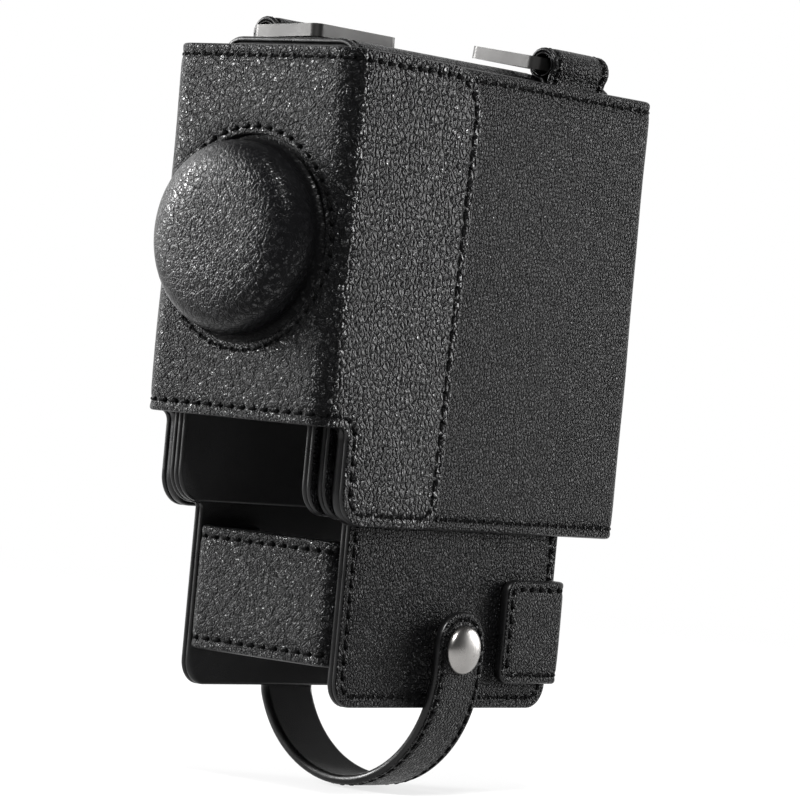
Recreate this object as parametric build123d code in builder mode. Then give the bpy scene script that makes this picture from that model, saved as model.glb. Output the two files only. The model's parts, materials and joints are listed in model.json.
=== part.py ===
"""Leather ever ready case: a sleeve with a moulded lens cup that slides up off a strap-hung holster.

X runs across the case, Y from front to back and Z up. The origin is midway between the hinge
lines of the two strap rings, the place that the case hangs from. All sizes are in millimetres.
"""

import math
import os

from build123d import *

# ---------------------------------------------------------------- driving dimensions

# Where the case hangs: the ring hinge lines, from the cover's front face and top edge
hang_back = 70.4
hang_rise = 5.9

# Cover: an open sleeve, front leather lapped over the rear wrap
cover_width = 66.7
cover_depth = 134.0
cover_height = 125.8
cover_front_radius = 7.0
cover_back_radius = 5.0
cover_leather = 1.6
cover_board = 1.6
cover_lining_ply = 1.4
cover_running_gap = 0.3
front_panel_height = 100.2
front_panel_notch_radius = 3.0
wing_front = 10.9
wing_back_top = 55.0
wing_back_bottom = 51.0
wing_top_radius = 13.0
wing_bottom_radius = 8.0
wing_toe_radius = 8.5
rear_wrap_front = 39.0
seam_gap = 0.3

# Lens cup, moulded in one piece with its flange
cup_drop = 52.0
cup_base_radius = 27.0
cup_face_radius = 24.4
cup_reach = 13.5
cup_edge_radius = 5.5
cup_root_radius = 2.0
cup_leather = 1.6
cup_flange_radius = 31.2
cup_lining_ply = 0.8
cup_fit = 0.15

# Holster side panels, wide inside the cover and stepped narrower below it
panel_leather = 1.5
panel_lining_ply = 1.6
panel_top_drop = 1.5
panel_toe = 9.0
panel_heel = 124.0
panel_step_drop = 124.6
panel_front = 20.5
panel_back = 111.0
panel_bottom_drop = 174.7
panel_top_radius = 4.0
panel_toe_radius = 9.0
panel_corner_radius = 7.0
panel_inner_radius = 1.5

# Saddle over the camera's top and down both cheeks
saddle_leather = 1.6
saddle_lining_ply = 1.6
saddle_front = 7.0
saddle_back = 122.0
saddle_rise = 3.2
saddle_shoulder_radius = 7.0
saddle_bottom_drop = 124.0
saddle_toe_radius = 8.0

# Bands across the lower front and round the lower back
front_band_face = 18.6
front_band_top_drop = 130.4
front_band_bottom_drop = 164.3
front_band_leather = 1.5
front_band_lining_ply = 1.2
front_band_tail = 24.0
front_band_radius = 4.0
rear_band_top_drop = 138.6
rear_band_bottom_drop = 167.6
rear_band_leather = 1.5
rear_band_lining_ply = 1.5
rear_band_reach = 27.0
rear_band_corner = 4.0

# Strap loops and rings
loop_spread = 63.6
loop_length = 25.0
loop_radius = 4.8
loop_bore_radius = 2.45
loop_tail_thickness = 3.0
loop_tail_drop = 18.0
loop_slot_clearance = 0.4
ring_length = 34.0
ring_width = 24.1
ring_bar = 2.0
ring_bar_height = 3.5
ring_corner_radius = 2.5
ring_left_lift = 2.0
ring_right_lift = 6.5

# Bottom strap, a half ellipse below the base
strap_width = 20.0
strap_leather = 1.8
strap_lining_ply = 1.2
strap_bottom_drop = 199.5
strap_stand_off = 1.9
strap_right_level_drop = 162.6
strap_left_bend = 10.0
strap_end_drop = 147.6
strap_end_radius = 9.6
strap_split_drop = 170.0
strap_split_gap = 0.3

# Press stud
snap_drop = 158.1
snap_cap_radius = 6.75
snap_cap_rise = 2.6
snap_rim_height = 0.7
snap_shank_radius = 3.2
snap_socket_radius = 5.4
snap_socket_bore = 2.7
snap_stud_flange_radius = 5.2
snap_stud_flange = 0.5
snap_stud_reach = 2.4
snap_stud_radius = 2.1
snap_stud_neck_radius = 1.8
snap_barrel_radius = 1.0
snap_eyelet_radius = 4.5
snap_eyelet_flange = 0.5
snap_running_gap = 0.3
snap_fit = 0.05

# ---------------------------------------------------------------- places worked out from them

cover_front_y = -hang_back
cover_back_y = cover_front_y + cover_depth
cover_middle_y = cover_front_y + cover_depth / 2
cover_top_z = -hang_rise
cover_bottom_z = cover_top_z - cover_height
front_panel_bottom_z = cover_top_z - front_panel_height
wing_front_y = cover_front_y + wing_front
cover_half = cover_width / 2
lapped = cover_leather
core = cover_leather + cover_board
cover_wall = core + cover_lining_ply
cup_z = cover_top_z - cup_drop
cup_wall_radius = cup_base_radius - cup_leather

panel_half_width = cover_half - cover_wall - cover_running_gap
panel_inner = panel_half_width - panel_leather
lining_inner = panel_inner - panel_lining_ply
panel_top_z = cover_top_z - panel_top_drop
panel_step_z = cover_top_z - panel_step_drop
panel_bottom_z = cover_top_z - panel_bottom_drop
panel_front_y = cover_front_y + panel_front
panel_back_y = cover_front_y + panel_back

saddle_half_width = lining_inner - seam_gap
saddle_front_y = cover_front_y + saddle_front
saddle_back_y = cover_front_y + saddle_back
saddle_top_z = cover_top_z + saddle_rise
saddle_bottom_z = cover_top_z - saddle_bottom_drop

ring_hinge_half = panel_half_width - loop_radius
hinge_half_spread = loop_spread / 2
loop_tail_bottom_z = cover_top_z - loop_tail_drop
loop_slot_half = loop_length / 2 + loop_slot_clearance

strap_y = cover_middle_y
strap_thickness = strap_leather + strap_lining_ply
strap_right = panel_half_width + strap_stand_off + strap_thickness
strap_left = panel_half_width + strap_thickness
strap_bottom_z = cover_top_z - strap_bottom_drop
strap_right_level_z = cover_top_z - strap_right_level_drop
strap_left_level_z = panel_bottom_z
strap_end_z = cover_top_z - strap_end_drop
strap_split_z = cover_top_z - strap_split_drop
snap_z = cover_top_z - snap_drop
strap_inner_face = strap_right - strap_thickness

os.makedirs("parts", exist_ok=True)


def save(piece, name):
    """Label a finished piece and write it as one STEP file."""
    piece.part.label = name
    export_step(piece.part, f"parts/{name}.step")


# ---------------------------------------------------------------- cover


def cover_plan(inset, back_inset, mode=Mode.ADD):
    """The sleeve seen from above, set in from its outer faces."""
    half = cover_half - inset
    front = cover_front_y + inset
    back = cover_back_y - back_inset
    front_radius = cover_front_radius - inset
    back_radius = cover_back_radius - back_inset
    with BuildLine() as outline:
        FilletPolyline(
            (-half, front),
            (half, front),
            (half, back),
            (-half, back),
            radius=[front_radius, front_radius, back_radius, back_radius],
            close=True,
        )
    make_face(outline.edges(), mode=mode)


def cover_layer(inset, back_inset, thickness):
    """One layer of the sleeve's wall over its full height."""
    with BuildSketch(Plane.XY.offset(cover_bottom_z)) as plan:
        cover_plan(inset, back_inset)
        cover_plan(inset + thickness, back_inset + thickness, mode=Mode.SUBTRACT)
    extrude(plan.sketch, amount=cover_height)


def keep_front_outline(back_top_y, back_bottom_y, top_radius=0.0, bottom_radius=0.0):
    """Cut the layer to the front panel and the wings, seen from the side."""
    ahead_y = cover_front_y - cover_wall
    with BuildSketch(Plane.YZ) as side:
        with BuildLine():
            FilletPolyline(
                (ahead_y, cover_top_z),
                (back_top_y, cover_top_z),
                (back_bottom_y, cover_bottom_z),
                (wing_front_y, cover_bottom_z),
                (wing_front_y, front_panel_bottom_z),
                (ahead_y, front_panel_bottom_z),
                radius=[0, top_radius, bottom_radius, wing_toe_radius, front_panel_notch_radius, 0],
                close=True,
            )
        make_face()
    extrude(side.sketch, amount=cover_half, both=True, mode=Mode.INTERSECT)


def cup_disc(radius, mode):
    """A round cut or blank on the lens cup's axis, through the front wall."""
    with BuildSketch(Plane.XZ.offset(-cover_front_y)) as disc:
        with Locations((0, cup_z)):
            Circle(radius)
    extrude(disc.sketch, amount=-2 * cover_wall, mode=mode)


with BuildPart() as cover_front:
    cover_layer(0, 0, cover_leather)
    keep_front_outline(
        cover_front_y + wing_back_top,
        cover_front_y + wing_back_bottom,
        wing_top_radius,
        wing_bottom_radius,
    )
    cup_disc(cup_base_radius + cup_fit, Mode.SUBTRACT)
save(cover_front, "cover_front")

with BuildPart() as cover_front_board:
    cover_layer(lapped, 0, cover_board)
    board_back_y = cover_front_y + rear_wrap_front - seam_gap
    keep_front_outline(board_back_y, board_back_y)
    cup_disc(cup_flange_radius + cup_fit, Mode.SUBTRACT)
save(cover_front_board, "cover_front_board")

with BuildPart() as cover_back:
    cover_layer(lapped, 0, cover_leather)
    with BuildSketch(Plane.XY.offset(cover_bottom_z)):
        with Locations((0, cover_front_y)):
            Rectangle(cover_width, 2 * rear_wrap_front)
    extrude(amount=cover_height, mode=Mode.SUBTRACT)
save(cover_back, "cover_back")

with BuildPart() as cover_lining:
    cover_layer(core, cover_leather, cover_lining_ply)
    keep_front_outline(cover_back_y, cover_back_y)
    cup_disc(cup_wall_radius, Mode.SUBTRACT)
save(cover_lining, "cover_lining")

# The cup's section is drawn with its radius along X and its reach ahead of the front face along Y.
cup_plane = Plane(origin=(0, cover_front_y, cup_z), x_dir=(0, 0, 1), z_dir=(1, 0, 0))
cup_axis = Axis((0, cover_front_y, cup_z), (0, -1, 0))
cup_bevel = cup_edge_radius - cup_leather


def cup_blank(inset, foot, mode=Mode.ADD):
    """The cup as a solid plug, set in from its outer face; set in, its rim is bevelled, not round."""
    face_radius = cup_face_radius - inset
    base_radius = cup_base_radius - inset
    reach = cup_reach - inset
    with BuildSketch(cup_plane) as section:
        with BuildLine():
            if inset:
                Polyline(
                    (0, reach),
                    (face_radius - cup_bevel, reach),
                    (face_radius, reach - cup_bevel),
                    (base_radius, 0),
                    (base_radius, -foot),
                    (0, -foot),
                    close=True,
                )
            else:
                FilletPolyline(
                    (0, reach),
                    (face_radius, reach),
                    (base_radius, 0),
                    (base_radius, -foot),
                    (0, -foot),
                    radius=[0, cup_edge_radius, cup_root_radius, 0, 0],
                    close=True,
                )
        make_face()
    revolve(section.sketch, axis=cup_axis, mode=mode)


with BuildPart() as lens_cup:
    cover_layer(lapped, 0, cover_board)
    cup_disc(cup_flange_radius, Mode.INTERSECT)
    cup_blank(0, core)
    cup_blank(cup_leather, core, mode=Mode.SUBTRACT)
save(lens_cup, "lens_cup")

with BuildPart() as lens_cup_lining:
    cup_blank(cup_leather + cup_fit, cover_wall)
    cup_blank(cup_leather + cup_fit + cup_lining_ply, cover_wall, mode=Mode.SUBTRACT)
save(lens_cup_lining, "lens_cup_lining")

# ---------------------------------------------------------------- holster side panels


def side_panel_sheet(outer_x, thickness):
    """One upright ply of a side panel; a negative outer_x is the left side."""
    front_top_y = cover_front_y + panel_toe
    back_top_y = cover_front_y + panel_heel
    with BuildSketch(Plane.YZ.offset(outer_x)) as side:
        with BuildLine() as outline:
            FilletPolyline(
                (front_top_y, panel_top_z),
                (back_top_y, panel_top_z),
                (back_top_y, panel_step_z),
                (panel_back_y, panel_step_z),
                (panel_back_y, panel_bottom_z),
                (panel_front_y, panel_bottom_z),
                (panel_front_y, panel_step_z),
                (front_top_y, panel_step_z),
                radius=[
                    panel_top_radius,
                    panel_top_radius,
                    panel_toe_radius,
                    panel_inner_radius,
                    panel_corner_radius,
                    panel_corner_radius,
                    panel_inner_radius,
                    panel_toe_radius,
                ],
                close=True,
            )
        make_face(outline.edges())
    extrude(side.sketch, amount=-math.copysign(thickness, outer_x))


def snap_cut(from_x, to_x, radius):
    """A round hole on the press stud's axis between two planes across the case."""
    with BuildSketch(Plane.YZ.offset(from_x)) as hole:
        with Locations((strap_y, snap_z)):
            Circle(radius)
    extrude(hole.sketch, amount=to_x - from_x, mode=Mode.SUBTRACT)


def loop_cut(side, low_x, high_x, bottom_z):
    """The slot that a strap loop's leather drops into; side is 1 at the right, -1 at the left."""
    with BuildSketch(Plane.XY.offset(bottom_z)) as slot:
        with Locations((side * (low_x + high_x) / 2, side * hinge_half_spread)):
            Rectangle(high_x - low_x, 2 * loop_slot_half)
    extrude(slot.sketch, amount=-bottom_z, mode=Mode.SUBTRACT)


for side, name in ((-1, "left"), (1, "right")):
    with BuildPart() as side_panel:
        side_panel_sheet(side * panel_half_width, panel_leather)
        if side > 0:
            snap_cut(panel_inner, panel_half_width, snap_barrel_radius + snap_fit)
    save(side_panel, f"side_panel_{name}")

    with BuildPart() as side_lining:
        side_panel_sheet(side * panel_inner, panel_lining_ply)
        loop_cut(side, lining_inner, panel_inner, loop_tail_bottom_z - loop_slot_clearance)
        if side > 0:
            snap_cut(panel_inner - snap_eyelet_flange, panel_inner, snap_eyelet_radius + snap_fit)
    save(side_lining, f"side_lining_{name}")

# ---------------------------------------------------------------- saddle

saddle_slot_inner = ring_hinge_half - loop_radius - loop_slot_clearance
loop_tail_slot_z = loop_tail_bottom_z - loop_slot_clearance
loop_top_slot_z = panel_top_z - loop_slot_clearance


def saddle_outline(inset, mode=Mode.ADD):
    """The saddle seen from the front, set in from its top and cheeks."""
    half = saddle_half_width - inset
    top_z = saddle_top_z - inset
    with BuildLine() as outline:
        FilletPolyline(
            (-half, saddle_bottom_z),
            (-half, top_z),
            (half, top_z),
            (half, saddle_bottom_z),
            radius=[0, saddle_shoulder_radius - inset, saddle_shoulder_radius - inset, 0],
            close=True,
        )
    make_face(outline.edges(), mode=mode)


for inset, thickness, name in (
    (0, saddle_leather, "saddle"),
    (saddle_leather, saddle_lining_ply, "saddle_lining"),
):
    with BuildPart() as saddle_ply:
        with BuildSketch(Plane.XZ.offset(-saddle_back_y)):
            saddle_outline(inset)
            saddle_outline(inset + thickness, mode=Mode.SUBTRACT)
        extrude(amount=saddle_back_y - saddle_front_y)
        toes = saddle_ply.edges().filter_by(Axis.X).group_by(Axis.Z)[0]
        fillet(toes, saddle_toe_radius)
        for side in (-1, 1):
            loop_cut(side, saddle_slot_inner, saddle_half_width, loop_top_slot_z)
            if inset == 0:
                loop_cut(side, saddle_half_width - saddle_leather, saddle_half_width, loop_tail_slot_z)
    save(saddle_ply, name)

# ---------------------------------------------------------------- bands


def band(half, face_y, tail_y, radius, thickness, bottom_z, top_z):
    """One ply of a U-shaped band; its bend is at face_y and its two tails reach tail_y."""
    inward = math.copysign(thickness, tail_y - face_y)
    with BuildSketch(Plane.XY.offset(bottom_z)) as plan:
        for step, mode in ((0, Mode.ADD), (1, Mode.SUBTRACT)):
            side_x = half - step * thickness
            bend_y = face_y + step * inward
            with BuildLine() as outline:
                FilletPolyline(
                    (-side_x, tail_y),
                    (-side_x, bend_y),
                    (side_x, bend_y),
                    (side_x, tail_y),
                    radius=[0, radius - step * thickness, radius - step * thickness, 0],
                    close=True,
                )
            make_face(outline.edges(), mode=mode)
    extrude(plan.sketch, amount=top_z - bottom_z)


front_band_y = cover_front_y + front_band_face
front_band_tail_y = front_band_y + front_band_tail
front_band_low_z = cover_top_z - front_band_bottom_drop
front_band_high_z = cover_top_z - front_band_top_drop
for inset, thickness, name in (
    (0, front_band_leather, "front_band"),
    (front_band_leather, front_band_lining_ply, "front_band_lining"),
):
    with BuildPart() as front_ply:
        band(
            lining_inner - inset,
            front_band_y + inset,
            front_band_tail_y,
            front_band_radius - inset,
            thickness,
            front_band_low_z,
            front_band_high_z,
        )
    save(front_ply, name)

rear_band_thickness = rear_band_leather + rear_band_lining_ply
rear_band_y = panel_back_y + rear_band_thickness
rear_band_tail_y = rear_band_y - rear_band_reach
rear_band_low_z = cover_top_z - rear_band_bottom_drop
rear_band_high_z = cover_top_z - rear_band_top_drop
for inset, thickness, name in (
    (0, rear_band_leather, "rear_band"),
    (rear_band_leather, rear_band_lining_ply, "rear_band_lining"),
):
    with BuildPart() as rear_ply:
        band(
            panel_half_width + rear_band_thickness - inset,
            rear_band_y - inset,
            rear_band_tail_y,
            rear_band_thickness - inset,
            thickness,
            rear_band_low_z,
            rear_band_high_z,
        )
        tab_corners = rear_ply.edges().filter_by(Axis.X).group_by(Axis.Y)[0]
        fillet(tab_corners, rear_band_corner)
    save(rear_ply, name)

# ---------------------------------------------------------------- strap loops and rings

ring_reach = ring_width - ring_bar

for side, lift, name in ((-1, ring_left_lift, "left"), (1, ring_right_lift, "right")):
    hinge_x = side * ring_hinge_half
    hinge_y = side * hinge_half_spread
    tail_x = side * (panel_inner - loop_tail_thickness / 2)

    with BuildPart() as strap_loop:
        with BuildSketch(Plane.XZ.offset(-hinge_y)):
            with Locations((hinge_x, 0)):
                Circle(loop_radius)
            with Locations((tail_x, panel_top_z)):
                Rectangle(loop_tail_thickness, seam_gap, align=(Align.CENTER, Align.MIN))
            make_hull()
            with Locations((tail_x, loop_tail_bottom_z)):
                Rectangle(
                    loop_tail_thickness,
                    panel_top_z - loop_tail_bottom_z,
                    align=(Align.CENTER, Align.MIN),
                )
            with Locations((hinge_x, 0)):
                Circle(loop_bore_radius, mode=Mode.SUBTRACT)
        extrude(amount=loop_length / 2, both=True)
    save(strap_loop, f"strap_loop_{name}")

    # The ring lies over the saddle, lifted a little about its hinge bar.
    slope = math.radians(lift)
    ring_plane = Plane(
        origin=(hinge_x, hinge_y, 0),
        x_dir=(-side * math.cos(slope), 0, math.sin(slope)),
        z_dir=(side * math.sin(slope), 0, math.cos(slope)),
    )
    with BuildPart() as strap_ring:
        with BuildSketch(ring_plane):
            with Locations((ring_reach / 2, 0)):
                RectangleRounded(ring_width, ring_length, ring_corner_radius)
                RectangleRounded(
                    ring_width - 2 * ring_bar,
                    ring_length - 2 * ring_bar,
                    ring_corner_radius - ring_bar,
                    mode=Mode.SUBTRACT,
                )
        extrude(amount=ring_bar_height / 2, both=True)
    save(strap_ring, f"strap_ring_{name}")

# ---------------------------------------------------------------- bottom strap

# The right quarter of the loop is an ellipse. The left one leaves the panel's lower edge with a
# small bend that runs into one large arc.
right_sag = strap_right_level_z - strap_bottom_z
left_sag = strap_left_level_z - strap_bottom_z
left_bend_x = strap_left - strap_left_bend
left_sweep = (left_bend_x**2 + left_sag**2 - strap_left_bend**2) / (2 * (left_sag - strap_left_bend))
left_turn = math.degrees(math.atan2(left_sweep - left_sag, left_bend_x))
split_below = strap_right_level_z - strap_split_z
split_x = strap_right * math.sqrt(1 - (split_below / right_sag) ** 2)
split_normal = Vector(split_x / strap_right**2, -split_below / right_sag**2).normalized()
split_tangent = Vector(-split_normal.Y, split_normal.X)
split_point = Vector(split_x, strap_split_z)


def strap_outline(inset, mode=Mode.ADD):
    """The hanging loop's outer outline, set in by part of the strap's thickness."""
    right_x = strap_right - inset
    left_x = strap_left - inset
    with BuildLine() as outline:
        EllipticalCenterArc(
            (0, strap_right_level_z), right_x, right_sag - inset, start_angle=270, arc_size=90
        )
        CenterArc((-left_bend_x, strap_left_level_z), strap_left_bend - inset, 180, left_turn)
        CenterArc((0, strap_bottom_z + left_sweep), left_sweep - inset, 180 + left_turn, 90 - left_turn)
        Polyline(
            (right_x, strap_right_level_z),
            (right_x, strap_end_z),
            (-left_x, strap_end_z),
            (-left_x, strap_left_level_z),
        )
    make_face(outline.edges(), mode=mode)


def strap_free_side(shift):
    """The stretch of the section that belongs to the free end, from a cut square to the strap."""
    cut = split_point + split_tangent * shift
    outer = cut + split_normal * strap_thickness
    inner = cut - split_normal * (strap_thickness * 3)
    top_z = strap_end_z + strap_thickness
    with BuildLine() as outline:
        Polyline(
            (outer.X, outer.Y), (inner.X, inner.Y), (inner.X, top_z), (outer.X, top_z), close=True
        )
    return make_face(outline.edges(), mode=Mode.PRIVATE)


for inset, thickness, suffix in ((0, strap_leather, ""), (strap_leather, strap_lining_ply, "_lining")):
    with BuildPart() as bottom_strap:
        with BuildSketch(Plane.XZ.offset(-strap_y)):
            strap_outline(inset)
            strap_outline(inset + thickness, mode=Mode.SUBTRACT)
            add(strap_free_side(-strap_split_gap / 2), mode=Mode.SUBTRACT)
        extrude(amount=strap_width / 2, both=True)
        sewn_end = bottom_strap.edges().filter_by(Axis.X).group_by(Axis.Z)[-1]
        fillet(sewn_end, strap_end_radius)
    save(bottom_strap, f"bottom_strap{suffix}")

    with BuildPart() as strap_end:
        with BuildSketch(Plane.XZ.offset(-strap_y)):
            strap_outline(inset)
            strap_outline(inset + thickness, mode=Mode.SUBTRACT)
            add(strap_free_side(strap_split_gap / 2), mode=Mode.INTERSECT)
        extrude(amount=strap_width / 2, both=True)
        free_end = strap_end.edges().filter_by(Axis.X).group_by(Axis.Z)[-1]
        fillet(free_end, strap_end_radius)
        snap_cut(strap_inner_face, strap_right, snap_shank_radius + snap_fit)
    save(strap_end, f"strap_end{suffix}")

# ---------------------------------------------------------------- press stud

# Each turned piece is drawn with X as its height above the panel's leather and Y as its radius.
snap_plane = Plane(origin=(panel_half_width, strap_y, snap_z), x_dir=(1, 0, 0), z_dir=(0, -1, 0))
snap_axis = Axis((panel_half_width, strap_y, snap_z), (1, 0, 0))
strap_underside = strap_inner_face - panel_half_width
strap_topside = strap_right - panel_half_width
socket_low = snap_stud_flange + snap_running_gap
dome_rise = snap_cap_rise - snap_rim_height
dome_radius = (snap_cap_radius**2 / dome_rise + dome_rise) / 2

with BuildPart() as snap_stud:
    with BuildSketch(snap_plane):
        with BuildLine():
            Polyline(
                (0, snap_barrel_radius + snap_fit),
                (0, snap_stud_flange_radius),
                (snap_stud_flange, snap_stud_flange_radius),
                (snap_stud_flange, snap_stud_neck_radius),
                (snap_stud_reach / 2, snap_stud_neck_radius),
                (snap_stud_reach - snap_stud_flange, snap_stud_radius),
                (snap_stud_reach, snap_stud_neck_radius),
                (snap_stud_reach, snap_barrel_radius + snap_fit),
                close=True,
            )
        make_face()
    revolve(axis=snap_axis)
save(snap_stud, "snap_stud")

with BuildPart() as snap_stud_eyelet:
    with BuildSketch(snap_plane):
        with BuildLine():
            Polyline(
                (-panel_leather - snap_eyelet_flange, 0),
                (-panel_leather - snap_eyelet_flange, snap_eyelet_radius),
                (-panel_leather, snap_eyelet_radius),
                (-panel_leather, snap_barrel_radius),
                (snap_stud_reach, snap_barrel_radius),
                (snap_stud_reach, 0),
                close=True,
            )
        make_face()
    revolve(axis=snap_axis)
save(snap_stud_eyelet, "snap_stud_eyelet")

with BuildPart() as snap_socket:
    with BuildSketch(snap_plane):
        with BuildLine():
            Polyline(
                (socket_low, snap_socket_bore),
                (socket_low, snap_socket_radius - snap_running_gap),
                (socket_low + snap_running_gap, snap_socket_radius),
                (strap_underside, snap_socket_radius),
                (strap_underside, snap_socket_bore),
                close=True,
            )
        make_face()
    revolve(axis=snap_axis)
save(snap_socket, "snap_socket")

with BuildPart() as snap_cap:
    with BuildSketch(snap_plane):
        with BuildLine():
            Line((strap_underside, snap_socket_bore), (strap_underside, snap_shank_radius))
            Line((strap_underside, snap_shank_radius), (strap_topside, snap_shank_radius))
            Line((strap_topside, snap_shank_radius), (strap_topside, snap_cap_radius))
            rim = Line(
                (strap_topside, snap_cap_radius), (strap_topside + snap_rim_height, snap_cap_radius)
            )
            dome = RadiusArc(
                rim @ 1,
                (strap_topside + snap_cap_rise, 0),
                dome_radius,
            )
            Line(dome @ 1, (strap_topside, 0))
            Line((strap_topside, 0), (strap_topside, snap_socket_bore))
            Line((strap_topside, snap_socket_bore), (strap_underside, snap_socket_bore))
        make_face()
    revolve(axis=snap_axis)
save(snap_cap, "snap_cap")
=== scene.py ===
"""Looks for a leather ever ready case: cut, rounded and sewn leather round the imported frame."""

import json
import math

import bmesh
import bpy
import numpy as np
from bpy.props import FloatProperty, FloatVectorProperty, PointerProperty
from mathutils import Matrix, Vector
from mathutils.geometry import delaunay_2d_cdt


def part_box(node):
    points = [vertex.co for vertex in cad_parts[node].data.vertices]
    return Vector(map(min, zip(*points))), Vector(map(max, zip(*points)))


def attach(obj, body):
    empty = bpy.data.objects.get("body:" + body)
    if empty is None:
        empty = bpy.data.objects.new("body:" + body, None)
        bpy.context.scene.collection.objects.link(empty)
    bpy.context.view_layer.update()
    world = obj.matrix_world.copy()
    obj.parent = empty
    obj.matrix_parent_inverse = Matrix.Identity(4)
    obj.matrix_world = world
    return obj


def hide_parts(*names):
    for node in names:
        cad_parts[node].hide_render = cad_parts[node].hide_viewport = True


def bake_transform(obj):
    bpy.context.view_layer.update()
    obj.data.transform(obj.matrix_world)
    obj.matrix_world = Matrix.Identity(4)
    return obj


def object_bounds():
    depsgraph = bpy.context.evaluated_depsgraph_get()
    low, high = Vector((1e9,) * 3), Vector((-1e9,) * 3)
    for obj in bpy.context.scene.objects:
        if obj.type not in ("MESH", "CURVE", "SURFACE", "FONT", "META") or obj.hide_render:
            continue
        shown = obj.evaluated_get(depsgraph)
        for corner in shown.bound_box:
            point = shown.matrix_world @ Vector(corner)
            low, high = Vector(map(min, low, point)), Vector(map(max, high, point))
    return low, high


bl_info = {
    "name": "Leather Ever Ready Case",
    "version": (1, 0, 0),
    "blender": (4, 5, 0),
    "location": "View3D > Sidebar > Case",
    "description": "Cuts, rounds and sews the leather of an ever ready case",
    "category": "Object",
}

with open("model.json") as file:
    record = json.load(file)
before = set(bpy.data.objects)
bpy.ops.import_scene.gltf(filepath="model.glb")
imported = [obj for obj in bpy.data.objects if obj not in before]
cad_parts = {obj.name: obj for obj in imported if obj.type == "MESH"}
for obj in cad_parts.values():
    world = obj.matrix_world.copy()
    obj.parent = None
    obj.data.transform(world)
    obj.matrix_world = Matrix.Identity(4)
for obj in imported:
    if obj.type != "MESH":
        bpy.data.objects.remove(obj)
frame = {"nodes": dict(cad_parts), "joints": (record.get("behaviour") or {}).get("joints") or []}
CAD_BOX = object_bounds()

COVER_LOW, COVER_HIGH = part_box("cover_front")
REAR_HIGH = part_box("cover_back")[1]
SLEEVE_LINING_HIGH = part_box("cover_lining")[1]
CUP_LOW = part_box("lens_cup")[0]
CUP_HEIGHT = sum(corner.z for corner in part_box("lens_cup_lining")) / 2
PANEL_LOW, PANEL_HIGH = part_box("side_panel_right")
PANEL_LINING_LOW, PANEL_LINING_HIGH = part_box("side_lining_right")
SADDLE_LOW, SADDLE_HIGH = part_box("saddle")
STRAP_LOW, STRAP_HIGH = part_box("bottom_strap")
STRAP_END_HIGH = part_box("strap_end")[1]
CAP_LOW, CAP_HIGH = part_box("snap_cap")


def hinge(name):
    """Where the named joint turns."""
    return Vector(next(joint["pos_m"] for joint in frame["joints"] if joint["name"] == name))


RING_HINGE = {side: hinge(f"ring_{side}_swing") for side in ("left", "right")}
SIDES = (("left", -1), ("right", 1))

# Lengths in metres
SPARE = 0.01  # how far the line that leather is laid on runs past it
WING_RUN = 0.09  # how far back the sleeve front's line runs
LAP_ROOM = 0.0006  # from the stiffener's rear edge to the rear wrap
LAP_STEP = 0.0003  # points either side of that edge
ROW_END = 0.002  # from the end of a row of stitches to the end of its piece
LOOP_INSET = 0.0024  # from a strap loop's seam to its edge
SADDLE_EASE = 0.03  # how far down the cheeks the saddle's front edge eases forward
BROW_BEND = 0.02  # radius of that easing
BOARD_ROOM = 0.0004  # from the lens cup to the stiffener
WING_FADE = 0.004  # how far either side of the corner the wings' grain takes over
REAR_BAND_BEND = 0.0035
BAND_SLACK = 0.001  # how much further than its bend a band is finely meshed
SHARP_CORNER = 0.001  # radius of a corner that looks sharp
STRAP_PITCH = 0.0036
LOOP_PITCH = 0.0034
LOOP_CLEAR = 0.00005  # from a strap loop to its inner sleeve
LOOP_OVERLAP = 0.12  # angle by which a strap loop's leather meets its tail
LOOK_AHEAD = 2e-4  # how far ahead and behind a direction is taken

# How finely leather is meshed, in metres
OUTLINE_GAP = 0.0015
HOLE_GAP = 0.0012
SEAM_GAP = 0.0007
RIM_SHARES = (0.0, 0.08, 0.3, 0.62, 1.0)
RIM_CLEAR = 0.0006
SEWN_CLEAR = 0.0001
SEAM_CLEAR = 0.0019

# Seams and edges, in metres or as shares
CHANNEL_WIDTH = 0.0012
SHADE_WIDTH = 0.0011
CHANNEL_SHADE = 0.55
HOLE_REACH = 0.002
HOLE_DEPTH = 0.0008
STITCH_BACK, STITCH_FRONT = -0.36, 0.3  # shares of the pitch
SWELL_INSET = 0.01  # how far in from an edge the leather's unevenness is full
PAINTED_ABOVE, PAINTED_UNDER = 0.32, 0.9  # shares of an edge's radius that are painted

FINE = ("fine_leather", "paint", "suede")
AIM = Vector((0.0114, -0.014, -0.0973))  # what the camera and the lamps point at
LAMP_DISTANCE = 1.2
FLOOR_REACH = 8.0


# ------------------------------------------------------------------ sizes and colours


def length(name, description, default):
    """A length a user would change, in metres."""
    return FloatProperty(name=name, description=description, default=default, min=0.0, unit="LENGTH")


def colour(name, description, default):
    """A linear colour."""
    return FloatVectorProperty(
        name=name, description=description, default=default, size=3, min=0.0, max=1.0, subtype="COLOR"
    )


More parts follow.
